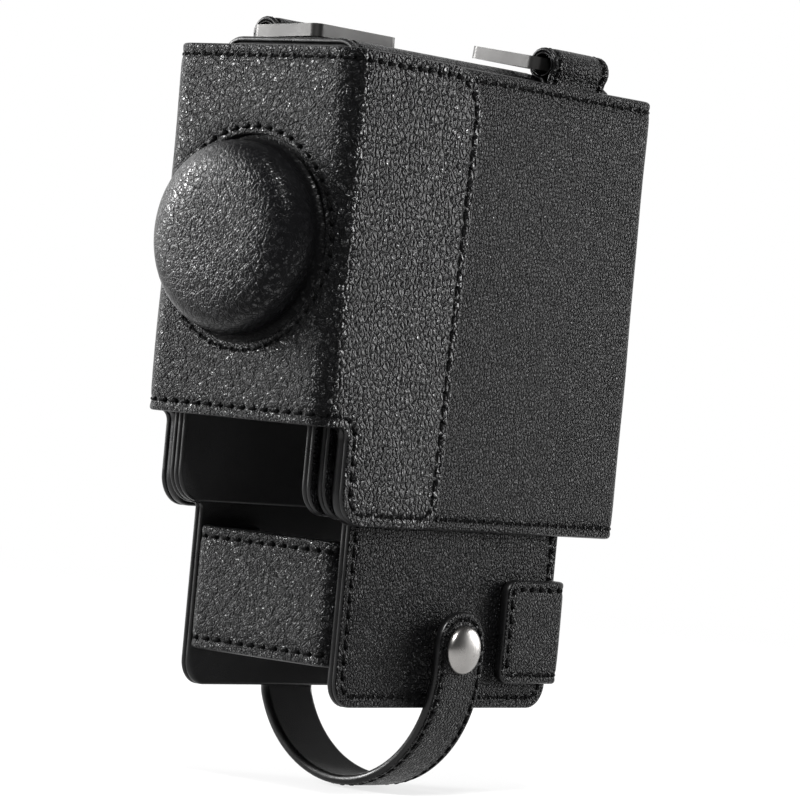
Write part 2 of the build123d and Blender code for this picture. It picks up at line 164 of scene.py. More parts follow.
class CaseCover(bpy.types.PropertyGroup):
    """Sizes of the sleeve's two walls and its moulded cup."""

    corner: length("Front corner", "Outer radius of the sleeve's front corners", 0.007)
    rear_corner: length("Rear corner", "Outer radius of the sleeve's rear corners", 0.005)
    lining: length("Lining", "Thickness of the sleeve's lining", 0.0014)
    leather: length("Leather", "Thickness of the outer leather", 0.0016)
    panel_height: length("Front panel", "Height of the front panel above the cut-out", 0.1002)
    notch: length("Notch", "Radius of the cut-out's upper corners", 0.003)
    wing_front: length("Wing front", "How far back the wings' front edges start", 0.0109)
    wing_top: length("Wing top", "How far back the wings reach at the top", 0.055)
    wing_bottom: length("Wing bottom", "How far back the wings reach at the bottom", 0.051)
    wing_top_corner: length("Wing top corner", "Radius of the wings' upper rear corners", 0.013)
    wing_low_corner: length("Wing low corner", "Radius of the wings' lower rear corners", 0.008)
    wing_toe: length("Wing toe", "Radius of the wings' lower front corners", 0.0085)
    rear_start: length("Rear wrap", "How far back the rear wrap starts, under the wings", 0.039)
    cup_hole: length("Cup hole", "Radius of the front panel's hole round the lens cup", 0.028)
    cup_base: length("Cup base", "Radius of the lens cup at the front panel", 0.0259)
    cup_fullness: FloatProperty(
        name="Cup fullness",
        description="How squarely the cup turns from its face into its wall",
        default=4.2,
    )
    cup_root: length("Cup root", "Radius of the bend from the cup into its flange", 0.0026)
    cup_flange: length("Cup flange", "Radius of the cup's flange behind the leather", 0.0295)
    edge: length("Edge", "Radius of the sleeve's rounded edges", 0.0012)


class CaseHolster(bpy.types.PropertyGroup):
    """Sizes of the holster's plies, bands and loops."""

    step_drop: length("Step", "Drop from the cover's top to the panels' step", 0.1246)
    panel_front: length("Panel front", "Depth of the lower panel's front edge", 0.0205)
    panel_back: length("Panel back", "Depth of the lower panel's back edge", 0.111)
    panel_top_corner: length("Panel top corner", "Radius of the panels' upper corners", 0.004)
    panel_toe: length("Panel toe", "Radius of the panels' corners at the step", 0.009)
    panel_corner: length("Panel corner", "Radius of the panels' lower corners", 0.007)
    panel_inner: length("Panel inner", "Radius of the panels' inside corners", 0.0015)
    ply: length("Ply", "Thickness of one holster ply", 0.0015)
    saddle_ply: length("Saddle ply", "Thickness of one saddle ply", 0.0016)
    saddle_toe: length("Saddle toe", "Radius of the saddle's lower corners", 0.008)
    saddle_brow: length("Saddle brow", "How far the saddle's front edge is set back over the top", 0.0036)
    saddle_shoulder: length("Saddle shoulder", "Bend of the saddle over the camera's shoulders", 0.007)
    band_corner: length("Band corner", "Bend radius of the front band", 0.004)
    front_band: length("Front band", "Thickness of the front band", 0.0027)
    rear_band: length("Rear band", "Thickness of the rear band", 0.003)
    rear_band_corner: length("Rear band corner", "Radius of the rear band's end corners", 0.004)
    loop: length("Loop", "Outer radius of a strap loop", 0.0048)
    loop_bore: length("Loop bore", "Radius of the hole through a strap loop", 0.003)
    loop_ply: length("Loop ply", "Thickness of the leather rolled into a strap loop", 0.0012)
    loop_tail: length("Loop tail", "Thickness of the tail sewn between the plies", 0.003)
    loop_slot: length("Loop slot", "Clearance of the slot round a loop's tail", 0.0004)
    strap: length("Strap", "Thickness of the bottom strap", 0.003)
    strap_bend: length("Strap bend", "Bend of the strap below its sewn end", 0.01)
    strap_level: length("Strap level", "Drop from the cover's top to the strap's curve", 0.1626)
    strap_round: length("Strap round", "Radius of the strap's ends", 0.0096)


class CaseSewing(bpy.types.PropertyGroup):
    """Sizes of the seams."""

    inset: length("Inset", "Distance from a seam to its edge", 0.003)
    pitch: length("Pitch", "Distance from one needle hole to the next", 0.0041)
    thread: length("Thread", "Thickness of the thread", 0.00095)
    channel: length("Channel", "How deep a seam pulls the leather in", 0.0003)
    hole: length("Needle hole", "Radius of a needle hole", 0.00058)
    ring_seam: length("Cup seam", "Radius of the seam round the lens cup", 0.03)
    strap_inset: length("Strap inset", "Distance from the strap's seam to its edge", 0.0021)
    slant: FloatProperty(
        name="Slant", description="Angle of a stitch to its seam", default=math.radians(9), unit="ROTATION"
    )


class CaseFinish(bpy.types.PropertyGroup):
    """Colours and grain of the leather, lining, thread and metal."""

    leather: colour("Leather", "Colour of the leather", (0.007, 0.007, 0.0076))
    paint: colour("Edge paint", "Colour of the painted edges", (0.003, 0.003, 0.0032))
    suede: colour("Suede", "Colour of the linings", (0.006, 0.006, 0.0063))
    thread: colour("Thread", "Colour of the thread", (0.001, 0.001, 0.0011))
    nickel: colour("Nickel", "Colour of the rings", (0.065, 0.064, 0.063))
    dark_nickel: colour("Dark nickel", "Colour of the press stud", (0.3, 0.29, 0.28))
    coarse: length("Crinkled grain", "Size of the cells on the front panel and lens cup", 0.0019)
    pebble: length("Pebbled grain", "Size of the pebbles on the wings", 0.0019)
    fine: length("Fine grain", "Size of the pebbles elsewhere", 0.0012)


class CaseStage(bpy.types.PropertyGroup):
    """Camera, lamps and floor."""

    azimuth: FloatProperty(
        name="Azimuth",
        description="Camera angle round the case",
        default=math.radians(40.28),
        unit="ROTATION",
    )
    elevation: FloatProperty(
        name="Elevation",
        description="Camera angle above level",
        default=math.radians(0.18),
        unit="ROTATION",
    )
    roll: FloatProperty(
        name="Roll", description="Camera roll", default=math.radians(5.32), unit="ROTATION"
    )
    distance: length("Distance", "Camera distance", 1.128)
    lens: FloatProperty(name="Lens", description="Focal length in millimetres", default=184.1, min=1.0)
    floor_drop: length("Floor", "How far below the case the floor lies", 0.0005)
    window_power: FloatProperty(
        name="Lamps", description="Power in watts that each lamp has a share of", default=14.0
    )
    room: FloatProperty(name="Room", description="Brightness of the room round the case", default=0.05)


# ------------------------------------------------------------------ lines


def rounded(corners, radii, closed=True, bend=math.radians(9)):
    """A line through the corners, each rounded to its radius."""
    points = []
    count = len(corners)
    for i, (corner, radius) in enumerate(zip(corners, radii)):
        corner = np.array(corner, float)
        if radius <= 0 or (not closed and i in (0, count - 1)):
            points.append(corner)
            continue
        before = np.array(corners[i - 1], float) - corner
        after = np.array(corners[(i + 1) % count], float) - corner
        before /= np.linalg.norm(before)
        after /= np.linalg.norm(after)
        half = math.acos(float(np.clip(before @ after, -1, 1))) / 2
        middle = (before + after) / np.linalg.norm(before + after)
        centre = corner + middle * radius / math.sin(half)
        start = corner + before * radius / math.tan(half) - centre
        end = corner + after * radius / math.tan(half) - centre
        first = math.atan2(start[1], start[0])
        turn = (math.atan2(end[1], end[0]) - first + math.pi) % (2 * math.pi) - math.pi
        steps = max(2, math.ceil(abs(turn) / bend))
        points.extend(arc(centre, radius, [first + turn * k / steps for k in range(steps + 1)]))
    return np.array(points)


def cornered(corners):
    """A closed line through (u, v, radius) corners."""
    return rounded([c[:2] for c in corners], [c[2] for c in corners])


def bent(half, foot, crown, radius, bend=9):
    """A line from a foot over a crown to the other foot, in steps of some degrees at its two corners."""
    corners = [(half, foot), (half, crown), (-half, crown), (-half, foot)]
    return rounded(corners, [0, radius, radius, 0], closed=False, bend=math.radians(bend))


def oblong(start, end, low, high):
    """The corners of an oblong, anticlockwise."""
    return np.array([(start, low), (end, low), (end, high), (start, high)])


def arc(centre, radius, angles):
    """Points at the given angles round a centre."""
    return [np.array(centre) + radius * np.array([math.cos(a), math.sin(a)]) for a in angles]


def circle(centre, radius, count=120):
    """A round line, clockwise, as holes are."""
    angles = -np.arange(count) * 2 * math.pi / count
    return np.array(centre) + radius * np.column_stack([np.cos(angles), np.sin(angles)])


def spans(line, closed=True):
    """The two ends of each straight piece of the line."""
    if closed:
        return zip(line, np.roll(line, -1, axis=0))
    return zip(line[:-1], line[1:])


def spaced(line, gap, closed=True):
    """The line with points added so that none are further apart than the gap."""
    points = []
    for a, b in spans(line, closed):
        steps = max(1, math.ceil(np.linalg.norm(b - a) / gap))
        points.extend(a + (b - a) * k / steps for k in range(steps))
    if not closed:
        points.append(line[-1])
    return np.array(points)


def sideways(line, closed=True):
    """Unit vectors to the left of the line at its points."""
    if closed:
        ahead = np.roll(line, -1, axis=0) - np.roll(line, 1, axis=0)
    else:
        ahead = np.gradient(line, axis=0)
    ahead /= np.linalg.norm(ahead, axis=1)[:, None]
    return np.column_stack([-ahead[:, 1], ahead[:, 0]])


def distance_to(points, line, closed=True):
    """Each point's distance to the line."""
    nearest = np.full(len(points), 1e9)
    for a, b in spans(line, closed):
        run = b - a
        size = run @ run
        if size < 1e-18:
            continue
        share = np.clip((points - a) @ run / size, 0, 1)
        gap = points - a - share[:, None] * run
        np.minimum(nearest, np.einsum("ij,ij->i", gap, gap), out=nearest)
    return np.sqrt(nearest)


def within(points, loop):
    """True for each point inside the closed line."""
    found = np.zeros(len(points), bool)
    for a, b in spans(loop):
        if a[1] == b[1]:
            continue
        level = (points[:, 1] > a[1]) != (points[:, 1] > b[1])
        cross = (b[0] - a[0]) * (points[:, 1] - a[1]) / (b[1] - a[1]) + a[0]
        found ^= level & (points[:, 0] < cross)
    return found


def inside(points, loops):
    """True for each point inside the first closed line and outside the others."""
    found = within(points, loops[0])
    for loop in loops[1:]:
        found &= ~within(points, loop)
    return found


def walk(line, closed=True):
    """Distance travelled at each point of the line, with its length last if it is closed."""
    steps = np.roll(line, -1, axis=0) - line if closed else np.diff(line, axis=0)
    return np.concatenate([[0.0], np.cumsum(np.linalg.norm(steps, axis=1))])


def along(line, runs, closed=True):
    """Points and directions at the given distances along the line."""
    travelled = walk(line, closed)
    loop = np.vstack([line, line[:1]]) if closed else line

    def at(places):
        return np.column_stack([np.interp(places, travelled, loop[:, k]) for k in (0, 1)])

    way = at(runs + LOOK_AHEAD) - at(runs - LOOK_AHEAD)
    return at(runs), way / np.linalg.norm(way, axis=1)[:, None]


def inset_line(loop, distance):
    """A closed line set in from a closed one that runs anticlockwise."""
    return loop + sideways(loop) * distance


# ------------------------------------------------------------------ leather laid in space


class Lay:
    """How flat leather is laid: its U runs along a line in a plane, its V runs square to that plane."""

    def __init__(self, line, plane, zero=0.0):
        self.line = np.array(line, float)
        self.plane = plane
        self.out = -sideways(self.line, closed=False)
        run = walk(self.line, closed=False)
        self.run = run - run[-1] * zero

    def find(self, test):
        """The first U at which the test on the line's points holds."""
        return float(self.run[np.argmax([bool(test(p)) for p in self.line])])

    def place(self, u, v, depth):
        """Points in space for leather coordinates and a depth below the outer face."""
        flat = [np.interp(u, self.run, self.line[:, k]) for k in (0, 1)]
        out = np.column_stack([np.interp(u, self.run, self.out[:, k]) for k in (0, 1)])
        out /= np.linalg.norm(out, axis=1)[:, None]
        a = flat[0] - out[:, 0] * depth
        b = flat[1] - out[:, 1] * depth
        return np.column_stack([a, b, v] if self.plane == "XY" else [a, v, b])


class Flat:
    """Flat leather facing left or right: U runs back and V runs up."""

    def __init__(self, outer_x):
        self.outer_x = outer_x

    def place(self, u, v, depth):
        side = math.copysign(1.0, self.outer_x)
        return np.column_stack([self.outer_x - side * depth, u, v])


class Sunk:
    """The same lay, a ply deeper."""

    def __init__(self, lay, depth):
        self.lay = lay
        self.depth = depth

    def place(self, u, v, depth):
        return self.lay.place(u, v, depth + self.depth)


def swell(u, v, size):
    """The slow unevenness of hand-laid leather."""
    wave = np.sin(u * 61 + 1.3) * np.sin(v * 47 + 0.4) + 0.6 * np.sin(u * 113 - v * 71 + 2.1)
    return size * (wave + 0.4 * np.sin(u * 190 + v * 167))


def shoulder(distance, radius):
    """Depth of a rounded edge at a distance in from it."""
    inset = np.clip(radius - distance, 0, radius)
    return radius - np.sqrt(np.maximum(radius**2 - inset**2, 0))


class Seam:
    """A row of stitches along a line of the pattern."""

    def __init__(self, line, closed=True, pitch=None):
        self.line = line
        self.closed = closed
        total = walk(line, closed)[-1]
        self.count = max(2, round(total / (pitch or bpy.context.scene.case_sewing.pitch)))
        self.step = total / self.count
        self.holes, _ = along(line, (np.arange(self.count) + 0.8) * self.step, closed)
        self.middles, self.ways = along(line, (np.arange(self.count) + 0.5) * self.step, closed)

    def points(self, needle):
        """Points that follow the seam's channel and lie round its needle holes."""
        fine = spaced(self.line, SEAM_GAP, self.closed)
        left = sideways(fine, self.closed)
        found = [fine + left * (step * SEAM_GAP) for step in (-2, -1, 0, 1, 2)]
        for angle in np.arange(6) * math.pi / 3:
            spoke = needle * np.array([math.cos(angle), math.sin(angle)])
            found.extend(self.holes + share * spoke for share in (0.7, 1.25))
        return [*found, self.holes]


def edge_seam(outline, inset, pitch=None):
    """A seam all round a piece, set in from its edge."""
    return Seam(inset_line(spaced(outline, OUTLINE_GAP), inset), pitch=pitch)


def seam_rows(start, end, heights, pitch=None):
    """Straight seams along a piece, one at each height."""
    return [Seam(np.array([(start, v), (end, v)]), closed=False, pitch=pitch) for v in heights]


def mesh_pattern(loops, seams, rim, gap, lines):
    """The points and triangles of a flat pattern, and the points of each of its closed lines in turn."""
    points, edges, borders = [], [], []
    for loop in loops:
        borders.append(range(len(points), len(points) + len(loop)))
        for share in RIM_SHARES:
            first = len(points)
            points.extend(inset_line(loop, rim * share))
            edges.extend((first + i, first + (i + 1) % len(loop)) for i in range(len(loop)))
    low, high = loops[0].min(0), loops[0].max(0)
    across = np.unique(np.round(np.concatenate([np.arange(low[0], high[0], gap), lines]), 6))
    grid = np.array([(a, b) for a in across for b in np.arange(low[1], high[1], gap)])
    clear = inside(grid, loops)
    for loop in loops:
        clear &= distance_to(grid, loop) > rim + RIM_CLEAR
    for seam in seams:
        clear &= distance_to(grid, seam.line, seam.closed) > SEAM_CLEAR
    grid = grid[clear]
    if seams:
        needle = bpy.context.scene.case_sewing.hole
        sewn = np.vstack([part for seam in seams for part in seam.points(needle)])
        keep = within(sewn, loops[0])
        for loop in loops:
            keep &= distance_to(sewn, loop) > rim + SEWN_CLEAR
        grid = np.vstack([grid, sewn[keep]])
    points.extend(grid)
    flat, _, faces, origin, _, _ = delaunay_2d_cdt([Vector(p) for p in points], edges, [], 0, 1e-5)
    flat = np.array([tuple(p) for p in flat])
    faces = np.array([f for f in faces if len(f) == 3])
    faces = faces[inside(flat[faces].mean(1), loops)]
    used = np.unique(faces)
    packed = np.full(len(flat), -1)
    packed[used] = np.arange(len(used))
    found = {old: new for new, olds in enumerate(origin) for old in olds}
    rims = [[int(packed[found[i]]) for i in border] for border in borders]
    return flat[used], packed[faces], rims


def make_piece(name, points, faces, pattern, materials, slots=None, marks=None):
    """A smooth piece from points and faces, with its flat pattern, its finishes and marks on its points."""
    mesh = bpy.data.meshes.new(name)
    mesh.from_pydata(points, [], faces)
    if slots is not None:
        mesh.polygons.foreach_set("material_index", slots)
    mesh.polygons.foreach_set("use_smooth", np.ones(len(mesh.polygons), bool))
    corners = np.zeros(len(mesh.loops), np.int32)
    mesh.loops.foreach_get("vertex_index", corners)
    mesh.uv_layers.new(name="Pattern").data.foreach_set("uv", np.array(pattern)[corners].ravel())
    for mark, values in (marks or {}).items():
        attribute = mesh.attributes.new(mark, "FLOAT", "POINT")
        attribute.data.foreach_set("value", values.astype(np.float32))
    work = bmesh.new()
    work.from_mesh(mesh)
    bmesh.ops.recalc_face_normals(work, faces=work.faces)
    work.to_mesh(mesh)
    work.free()
    piece = bpy.data.objects.new(name, mesh)
    bpy.context.scene.collection.objects.link(piece)
    for material in materials:
        mesh.materials.append(finish(material))
    return piece


def tube(first, rings, sides):
    """The faces of a closed tube whose points run round ring after ring."""
    faces = []
    for i in range(rings - 1):
        for k in range(sides):
            a = first + i * sides + k
            b = first + i * sides + (k + 1) % sides
            faces.append((a, b, b + sides, a + sides))
    last = first + (rings - 1) * sides
    return faces + [tuple(range(first, first + sides)), tuple(reversed(range(last, last + sides)))]


def cut_leather(
    name,
    lay,
    outline,
    thickness,
    holes=(),
    seams=(),
    outer_round=0.0007,
    inner_round=0.0006,
    gap=0.004,
    lines=(),
    unevenness=0.00012,
    materials=("leather", "paint", "suede"),
    wing=None,
):
    """A piece of leather cut to an outline, with rounded edges, sewn channels and needle holes, and painted
    shade in those channels and holes.
    """
    sewing = bpy.context.scene.case_sewing
    loops = [spaced(outline, OUTLINE_GAP)] + [spaced(hole, HOLE_GAP) for hole in holes]
    flat, faces, rims = mesh_pattern(loops, seams, outer_round, gap, lines)
    edge = np.minimum.reduce([distance_to(flat, loop) for loop in loops])
    outer = min(outer_round, thickness / 2)
    inner = min(inner_round, thickness / 2)
    top = shoulder(edge, outer)
    under = thickness - shoulder(edge, inner)
    # Painted shade along each seam's channel and in each needle hole, passed to the finish as the sewn
    # mark.
    seam_shade = np.zeros(len(flat))
    for seam in seams:
        near = distance_to(flat, seam.line, seam.closed)
        seam_shade = np.maximum(seam_shade, CHANNEL_SHADE * np.exp(-((near / SHADE_WIDTH) ** 2)))
        top += sewing.channel * np.exp(-((near / CHANNEL_WIDTH) ** 2))
        for hole in seam.holes:
            close = np.abs(flat - hole).max(1) < HOLE_REACH
            pit = np.exp(-((np.linalg.norm(flat[close] - hole, axis=1) / sewing.hole) ** 4))
            top[close] += HOLE_DEPTH * pit
            seam_shade[close] = np.maximum(seam_shade[close], pit)
    top += swell(flat[:, 0], flat[:, 1], unevenness) * np.clip(edge / SWELL_INSET, 0, 1)

    count = len(flat)
    sides = []
    for rim in rims:
        rim = [a for a, b in zip(rim, rim[1:] + rim[:1]) if a != b]
        sides.extend((b, a, a + count, b + count) for a, b in zip(rim, rim[1:] + rim[:1]))
    middle = edge[faces].mean(1)
    painted = np.where(middle < PAINTED_ABOVE * outer, 1, 0)
    painted_under = np.where(middle < PAINTED_UNDER * inner, 1, 2)
    slots = np.concatenate([painted, painted_under, np.ones(len(sides), int)])
    marks = {"sewn": np.concatenate([seam_shade, np.zeros(count)])}
    if wing:
        share = np.clip((np.abs(flat[:, 0]) - wing[0]) / (wing[1] - wing[0]), 0, 1)
        marks["wing"] = np.concatenate([share, share])
    points = np.vstack([lay.place(flat[:, 0], flat[:, 1], depth) for depth in (top, under)])
    faces = faces.tolist() + (faces[:, ::-1] + count).tolist() + sides
    return make_piece(name, points.tolist(), faces, np.vstack([flat, flat]), materials, slots, marks)


def sew(name, lay, seams):
    """The thread of some seams, one bead of thread for each stitch."""
    sewing = bpy.context.scene.case_sewing
    rings, sides = 9, 8
    cosine, sine = math.cos(sewing.slant), math.sin(sewing.slant)
    points, faces = [], []
    for seam in seams:
        back, front = STITCH_BACK * seam.step, STITCH_FRONT * seam.step
        for middle, (a, b) in zip(seam.middles, seam.ways):
            way = np.array([a * cosine - b * sine, a * sine + b * cosine])
            left = np.array([-way[1], way[0]])
            faces.extend(tube(len(points), rings, sides))
            for i in range(rings):
                share = -1 + 2 * i / (rings - 1)
                taper = math.sqrt(max(0.0, 1 - abs(share) ** 6))
                girth = sewing.thread / 2 * (0.8 + 0.25 * share) * taper + 2e-5
                sink = sewing.channel * 0.8 + 0.0005 * abs(share) ** 4
                reach = back + (front - back) * i / (rings - 1)
                for k in range(sides):
                    angle = 2 * math.pi * k / sides
                    offset = left * girth * math.cos(angle) + way * reach
                    points.append((*(middle + offset), sink - girth * 0.75 * math.sin(angle)))
    points = np.array(points)
    placed = lay.place(points[:, 0], points[:, 1], points[:, 2])
    return make_piece(name, placed.tolist(), faces, points[:, :2], ["thread"])


def turned(name, profile, centre, axis, count, material):
    """A turned piece: (radius, reach) pairs spun about an axis, its grain spreading from the first pair."""
    axis = Vector(axis).normalized()
    side = Vector((0, 0, 1)).cross(axis).normalized()
    up = axis.cross(side)
    points, pattern = [], []
    for (radius, reach), spread in zip(profile, walk(np.array(profile), closed=False)):
        for k in range(count):
            angle = 2 * math.pi * k / count
            spoke = side * math.cos(angle) + up * math.sin(angle)
            points.append(tuple(Vector(centre) + axis * reach + spoke * radius))
            pattern.append((spread * math.cos(angle), spread * math.sin(angle)))
    return make_piece(name, points, tube(0, len(profile), count), pattern, [material])


# ------------------------------------------------------------------ finishes


class Nodes:
    """A short way to write the shader nodes of a material or a world."""

    def __init__(self, owner, output="ShaderNodeOutputMaterial"):
        owner.use_nodes = True
        self.tree = owner.node_tree
        self.tree.nodes.clear()
        self.output = self.add(output)

    def feed(self, node, inputs):
        """Sets each input to its number, or links it to its source."""
        for key, value in inputs.items():
            if isinstance(value, bpy.types.NodeSocket):
                self.tree.links.new(value, node.inputs[key])
            else:
                node.inputs[key].default_value = value

    def add(self, kind, inputs=None, **settings):
        node = self.tree.nodes.new(kind)
        for key, value in settings.items():
            setattr(node, key, value)
        self.feed(node, inputs or {})
        return node

    def maths(self, operation, first, second, clamp=False):
        inputs = {0: first, 1: second}
        return self.add("ShaderNodeMath", inputs, operation=operation, use_clamp=clamp).outputs[0]

    def plus(self, first, second, clamp=False):
        return self.maths("ADD", first, second, clamp)

    def minus(self, first, second, clamp=False):
        return self.maths("SUBTRACT", first, second, clamp)

    def times(self, first, second):
        return self.maths("MULTIPLY", first, second)

    def vector(self, operation, *inputs):
        return self.add("ShaderNodeVectorMath", dict(enumerate(inputs)), operation=operation)

    def ramp(self, value, low, high, first=0.0, last=1.0):
        inputs = {"Value": value, "From Min": low, "From Max": high, "To Min": first, "To Max": last}
        return self.add("ShaderNodeMapRange", inputs, interpolation_type="SMOOTHSTEP").outputs[0]

    def tint(self, factor, dark, light):
        node = self.add("ShaderNodeMix", data_type="RGBA")
        self.feed(node, {"Factor": factor})
        for socket in node.inputs:
            if socket.type == "RGBA":
                socket.default_value = (*(dark if socket.name == "A" else light), 1)
        return next(socket for socket in node.outputs if socket.type == "RGBA")

    def noise(self, vector, scale, detail=2.0, rough=0.5):
        inputs = {"Vector": vector, "Scale": scale, "Detail": detail, "Roughness": rough}
        return self.add("ShaderNodeTexNoise", inputs).outputs["Fac"]

    def bump(self, height, distance, strength=1.0, below=None):
        node = self.add("ShaderNodeBump", {"Distance": distance, "Strength": strength, "Height": height})
        if below is not None:
            self.feed(node, {"Normal": below})
        return node.outputs["Normal"]

    def mark(self, name):
        return self.add("ShaderNodeAttribute", attribute_name=name).outputs["Fac"]

    def pattern(self):
        """The flat pattern's coordinates, in metres."""
        return self.add("ShaderNodeUVMap", uv_map="Pattern").outputs["UV"]

    def mix(self, share, first, second):
        """Shows a mix of two shaders."""
        inputs = {"Fac": share, 1: first.outputs[0], 2: second.outputs[0]}
        self.feed(self.output, {"Surface": self.add("ShaderNodeMixShader", inputs).outputs[0]})


class Finish(Nodes):
    """A material with one Principled shader."""

    def __init__(self, name):
        self.material = bpy.data.materials.new(name)
        super().__init__(self.material)

    def show(self, inputs):
        shader = self.add("ShaderNodeBsdfPrincipled", inputs)
        self.feed(self.output, {"Surface": shader.outputs["BSDF"]})
        return self.material


def dimmed(colour, share):
    """A colour times a number."""
    return tuple(c * share for c in colour)


def cells(nodes, where, size, seed, stretch=1.0, turn=0.0, feature="DISTANCE_TO_EDGE", wander=0.8):
    """A net of irregular cells of about the given size, stretched along a turned line."""
    inputs = {
        "Vector": where,
        "Rotation": (0, 0, turn),
        "Scale": (size * stretch, size, 1),
        "Location": (seed * size, seed * 0.7 * size, 0),
    }
    scale = nodes.add("ShaderNodeMapping", inputs, vector_type="TEXTURE").outputs[0]
    warp = nodes.add("ShaderNodeTexNoise", {"Vector": scale, "Scale": 0.8}, noise_dimensions="2D")
    shift = nodes.vector("MULTIPLY_ADD", warp.outputs["Color"], (wander, wander, 0), scale)
    inputs = {"Vector": shift.outputs[0], "Scale": 1.0, "Randomness": 0.95}
    return nodes.add("ShaderNodeTexVoronoi", inputs, voronoi_dimensions="2D", feature=feature)


def crinkle(nodes, where, size, seed):
    """The height of crinkled grain: flat cells, finer wrinkles and long creases that cross, and a share,
    low in the creases and varying at random, that sets the painted shade in the creases.
    """
    large = nodes.ramp(cells(nodes, where, size, seed).outputs["Distance"], 0.0, 0.15)
    mixed = nodes.ramp(nodes.noise(where, 1.1 / size, 1.0), 0.36, 0.62, 0.15, 1.0)
    fine = nodes.ramp(cells(nodes, where, size * 0.45, seed + 5).outputs["Distance"], 0.0, 0.22)
    creases = 0.0
    for turn, shift in ((0.7, 4.0), (-0.95, 9.0)):
        net = cells(nodes, where, size * 1.9, seed + shift, stretch=3.2, turn=turn, wander=0.45)
        line = nodes.ramp(net.outputs["Distance"], 0.0, 0.09, 1.0, 0.0)
        patchy = nodes.ramp(nodes.noise(where, 150.0 + 20 * shift), 0.38, 0.56, 0.15, 1.0)
        creases = nodes.maths("MAXIMUM", creases, nodes.times(line, patchy))
    shut = nodes.minus(1.0, creases, clamp=True)
    sway = nodes.noise(where, 0.8 / size, 1.0)
    height = nodes.times(large, 0.3)
    for layer, share in ((fine, 0.14), (shut, 0.3), (sway, 0.25)):
        height = nodes.plus(height, nodes.times(layer, share))
    high = nodes.times(nodes.ramp(large, 0.1, 0.8), nodes.ramp(fine, 0.0, 0.8, 0.35, 1.0))
    return height, nodes.times(nodes.times(high, mixed), shut)


def pebble(nodes, where, size, seed):
    """The height of pebbled grain: round domes of mixed height parted by valleys, and a share, low in the
    valleys and varying at random, that sets the painted shade in the valleys.
    """
    dome = cells(nodes, where, size, seed, feature="F1", wander=0.5)
    edge = cells(nodes, where, size, seed, wander=0.5).outputs["Distance"]
    chance = nodes.add("ShaderNodeSeparateColor", {0: dome.outputs["Color"]}).outputs[0]
    valley = nodes.ramp(edge, 0.0, 0.3)
    fine = nodes.ramp(cells(nodes, where, size * 0.5, seed + 3).outputs["Distance"], 0.0, 0.4)
    sway = nodes.noise(where, 0.8 / size, 1.0)
    height = nodes.plus(valley, nodes.times(fine, 0.25))
    height = nodes.times(height, nodes.ramp(chance, 0.1, 0.9, 0.45, 1.0))
    height = nodes.plus(height, nodes.times(sway, 0.8))
    high = nodes.times(nodes.ramp(valley, 0.15, 0.85), nodes.ramp(fine, 0.0, 0.7, 0.5, 1.0))
    return height, nodes.times(high, nodes.ramp(chance, 0.1, 0.9, 0.15, 1.0))


def leather_finish(name, grain, size, depth, seed, rough, gloss, wing=None, stretched=False):
    """Black grained leather, a little polished on its high parts and rougher in its creases, with painted
    shade darkening its colour and reflection in the creases and along the seams.
    """
    base = bpy.context.scene.case_finish.leather
    nodes = Finish(name)
    where = nodes.pattern()
    height, high = grain(nodes, where, size, seed)
    if wing:
        share = nodes.mark("wing")
        less = nodes.minus(1.0, share)
        other_height, other_high = pebble(nodes, where, wing, seed + 2)
        height = nodes.plus(nodes.times(height, less), nodes.times(other_height, share))
        high = nodes.plus(nodes.times(high, less), nodes.times(other_high, share))
    if stretched:
        share = nodes.mark("stretch")
        height = nodes.times(height, nodes.ramp(share, 0.0, 1.0, 1.0, 0.6))
        high = nodes.maths("MAXIMUM", high, nodes.times(share, 0.3))
    broad = nodes.noise(where, 55.0, 3.0, 0.55)
    # Painted shade: the colour darkens in the creases, where high is low, and along seams and needle holes,
    # where the sewn mark is high; the broad noise varies the tone at random.
    sewn = nodes.mark("sewn")
    tone = nodes.times(high, nodes.ramp(broad, 0.3, 0.7, 0.7, 1.0))
    tone = nodes.times(tone, nodes.minus(1.0, sewn, clamp=True))
    # Seams are a little more matte, and the same share deepens their painted shade in the reflection.
    seam_matte_and_shade = nodes.times(sewn, 0.2)
    worn = nodes.plus(nodes.ramp(high, 0.0, 0.6, *rough), nodes.ramp(broad, 0.3, 0.7, 0.04, -0.03))
    shade = nodes.ramp(nodes.minus(high, seam_matte_and_shade), 0.35, 1.0)
    return nodes.show(
        {
            "Base Color": nodes.tint(tone, dimmed(base, 0.25), base),
            "Roughness": nodes.plus(worn, seam_matte_and_shade, clamp=True),
            "Normal": nodes.bump(height, depth, below=nodes.bump(broad, 0.0006, 0.25)),
            # Painted shade: the creases and seams reflect less light.
            "Specular Tint": nodes.tint(shade, (0.05, 0.05, 0.05), (1, 1, 1)),
            "IOR": gloss,
        }
    )


def make_leather(sizes):
    grain = (crinkle, sizes.coarse, 0.0007, 3.1)
    return leather_finish("Sleeve leather", *grain, (0.4, 0.17), 1.5, wing=sizes.pebble)


def make_fine_leather(sizes):
    return leather_finish("Holster leather", pebble, sizes.fine, 0.0007, 7.7, (0.4, 0.19), 1.31)


def make_cup_leather(sizes):
    grain = (crinkle, sizes.coarse, 0.00027, 1.9)
    return leather_finish("Moulded cup leather", *grain, (0.3, 0.17), 1.39, stretched=True)


def make_paint(colours):
    """Glossy black edge paint over pressed fibres."""
    nodes = Finish("Edge paint")
    where = nodes.pattern()
    grain = nodes.noise(where, 900.0, 3.0, 0.6)
    slow = nodes.noise(where, 120.0)
    return nodes.show(
        {
            "Base Color": nodes.tint(grain, dimmed(colours.paint, 0.6), colours.paint),
            "Roughness": nodes.ramp(slow, 0.3, 0.7, 0.26, 0.4),
            "Normal": nodes.bump(grain, 0.00006, 0.6, nodes.bump(slow, 0.0004, 0.35)),
            "IOR": 1.32,
        }
    )


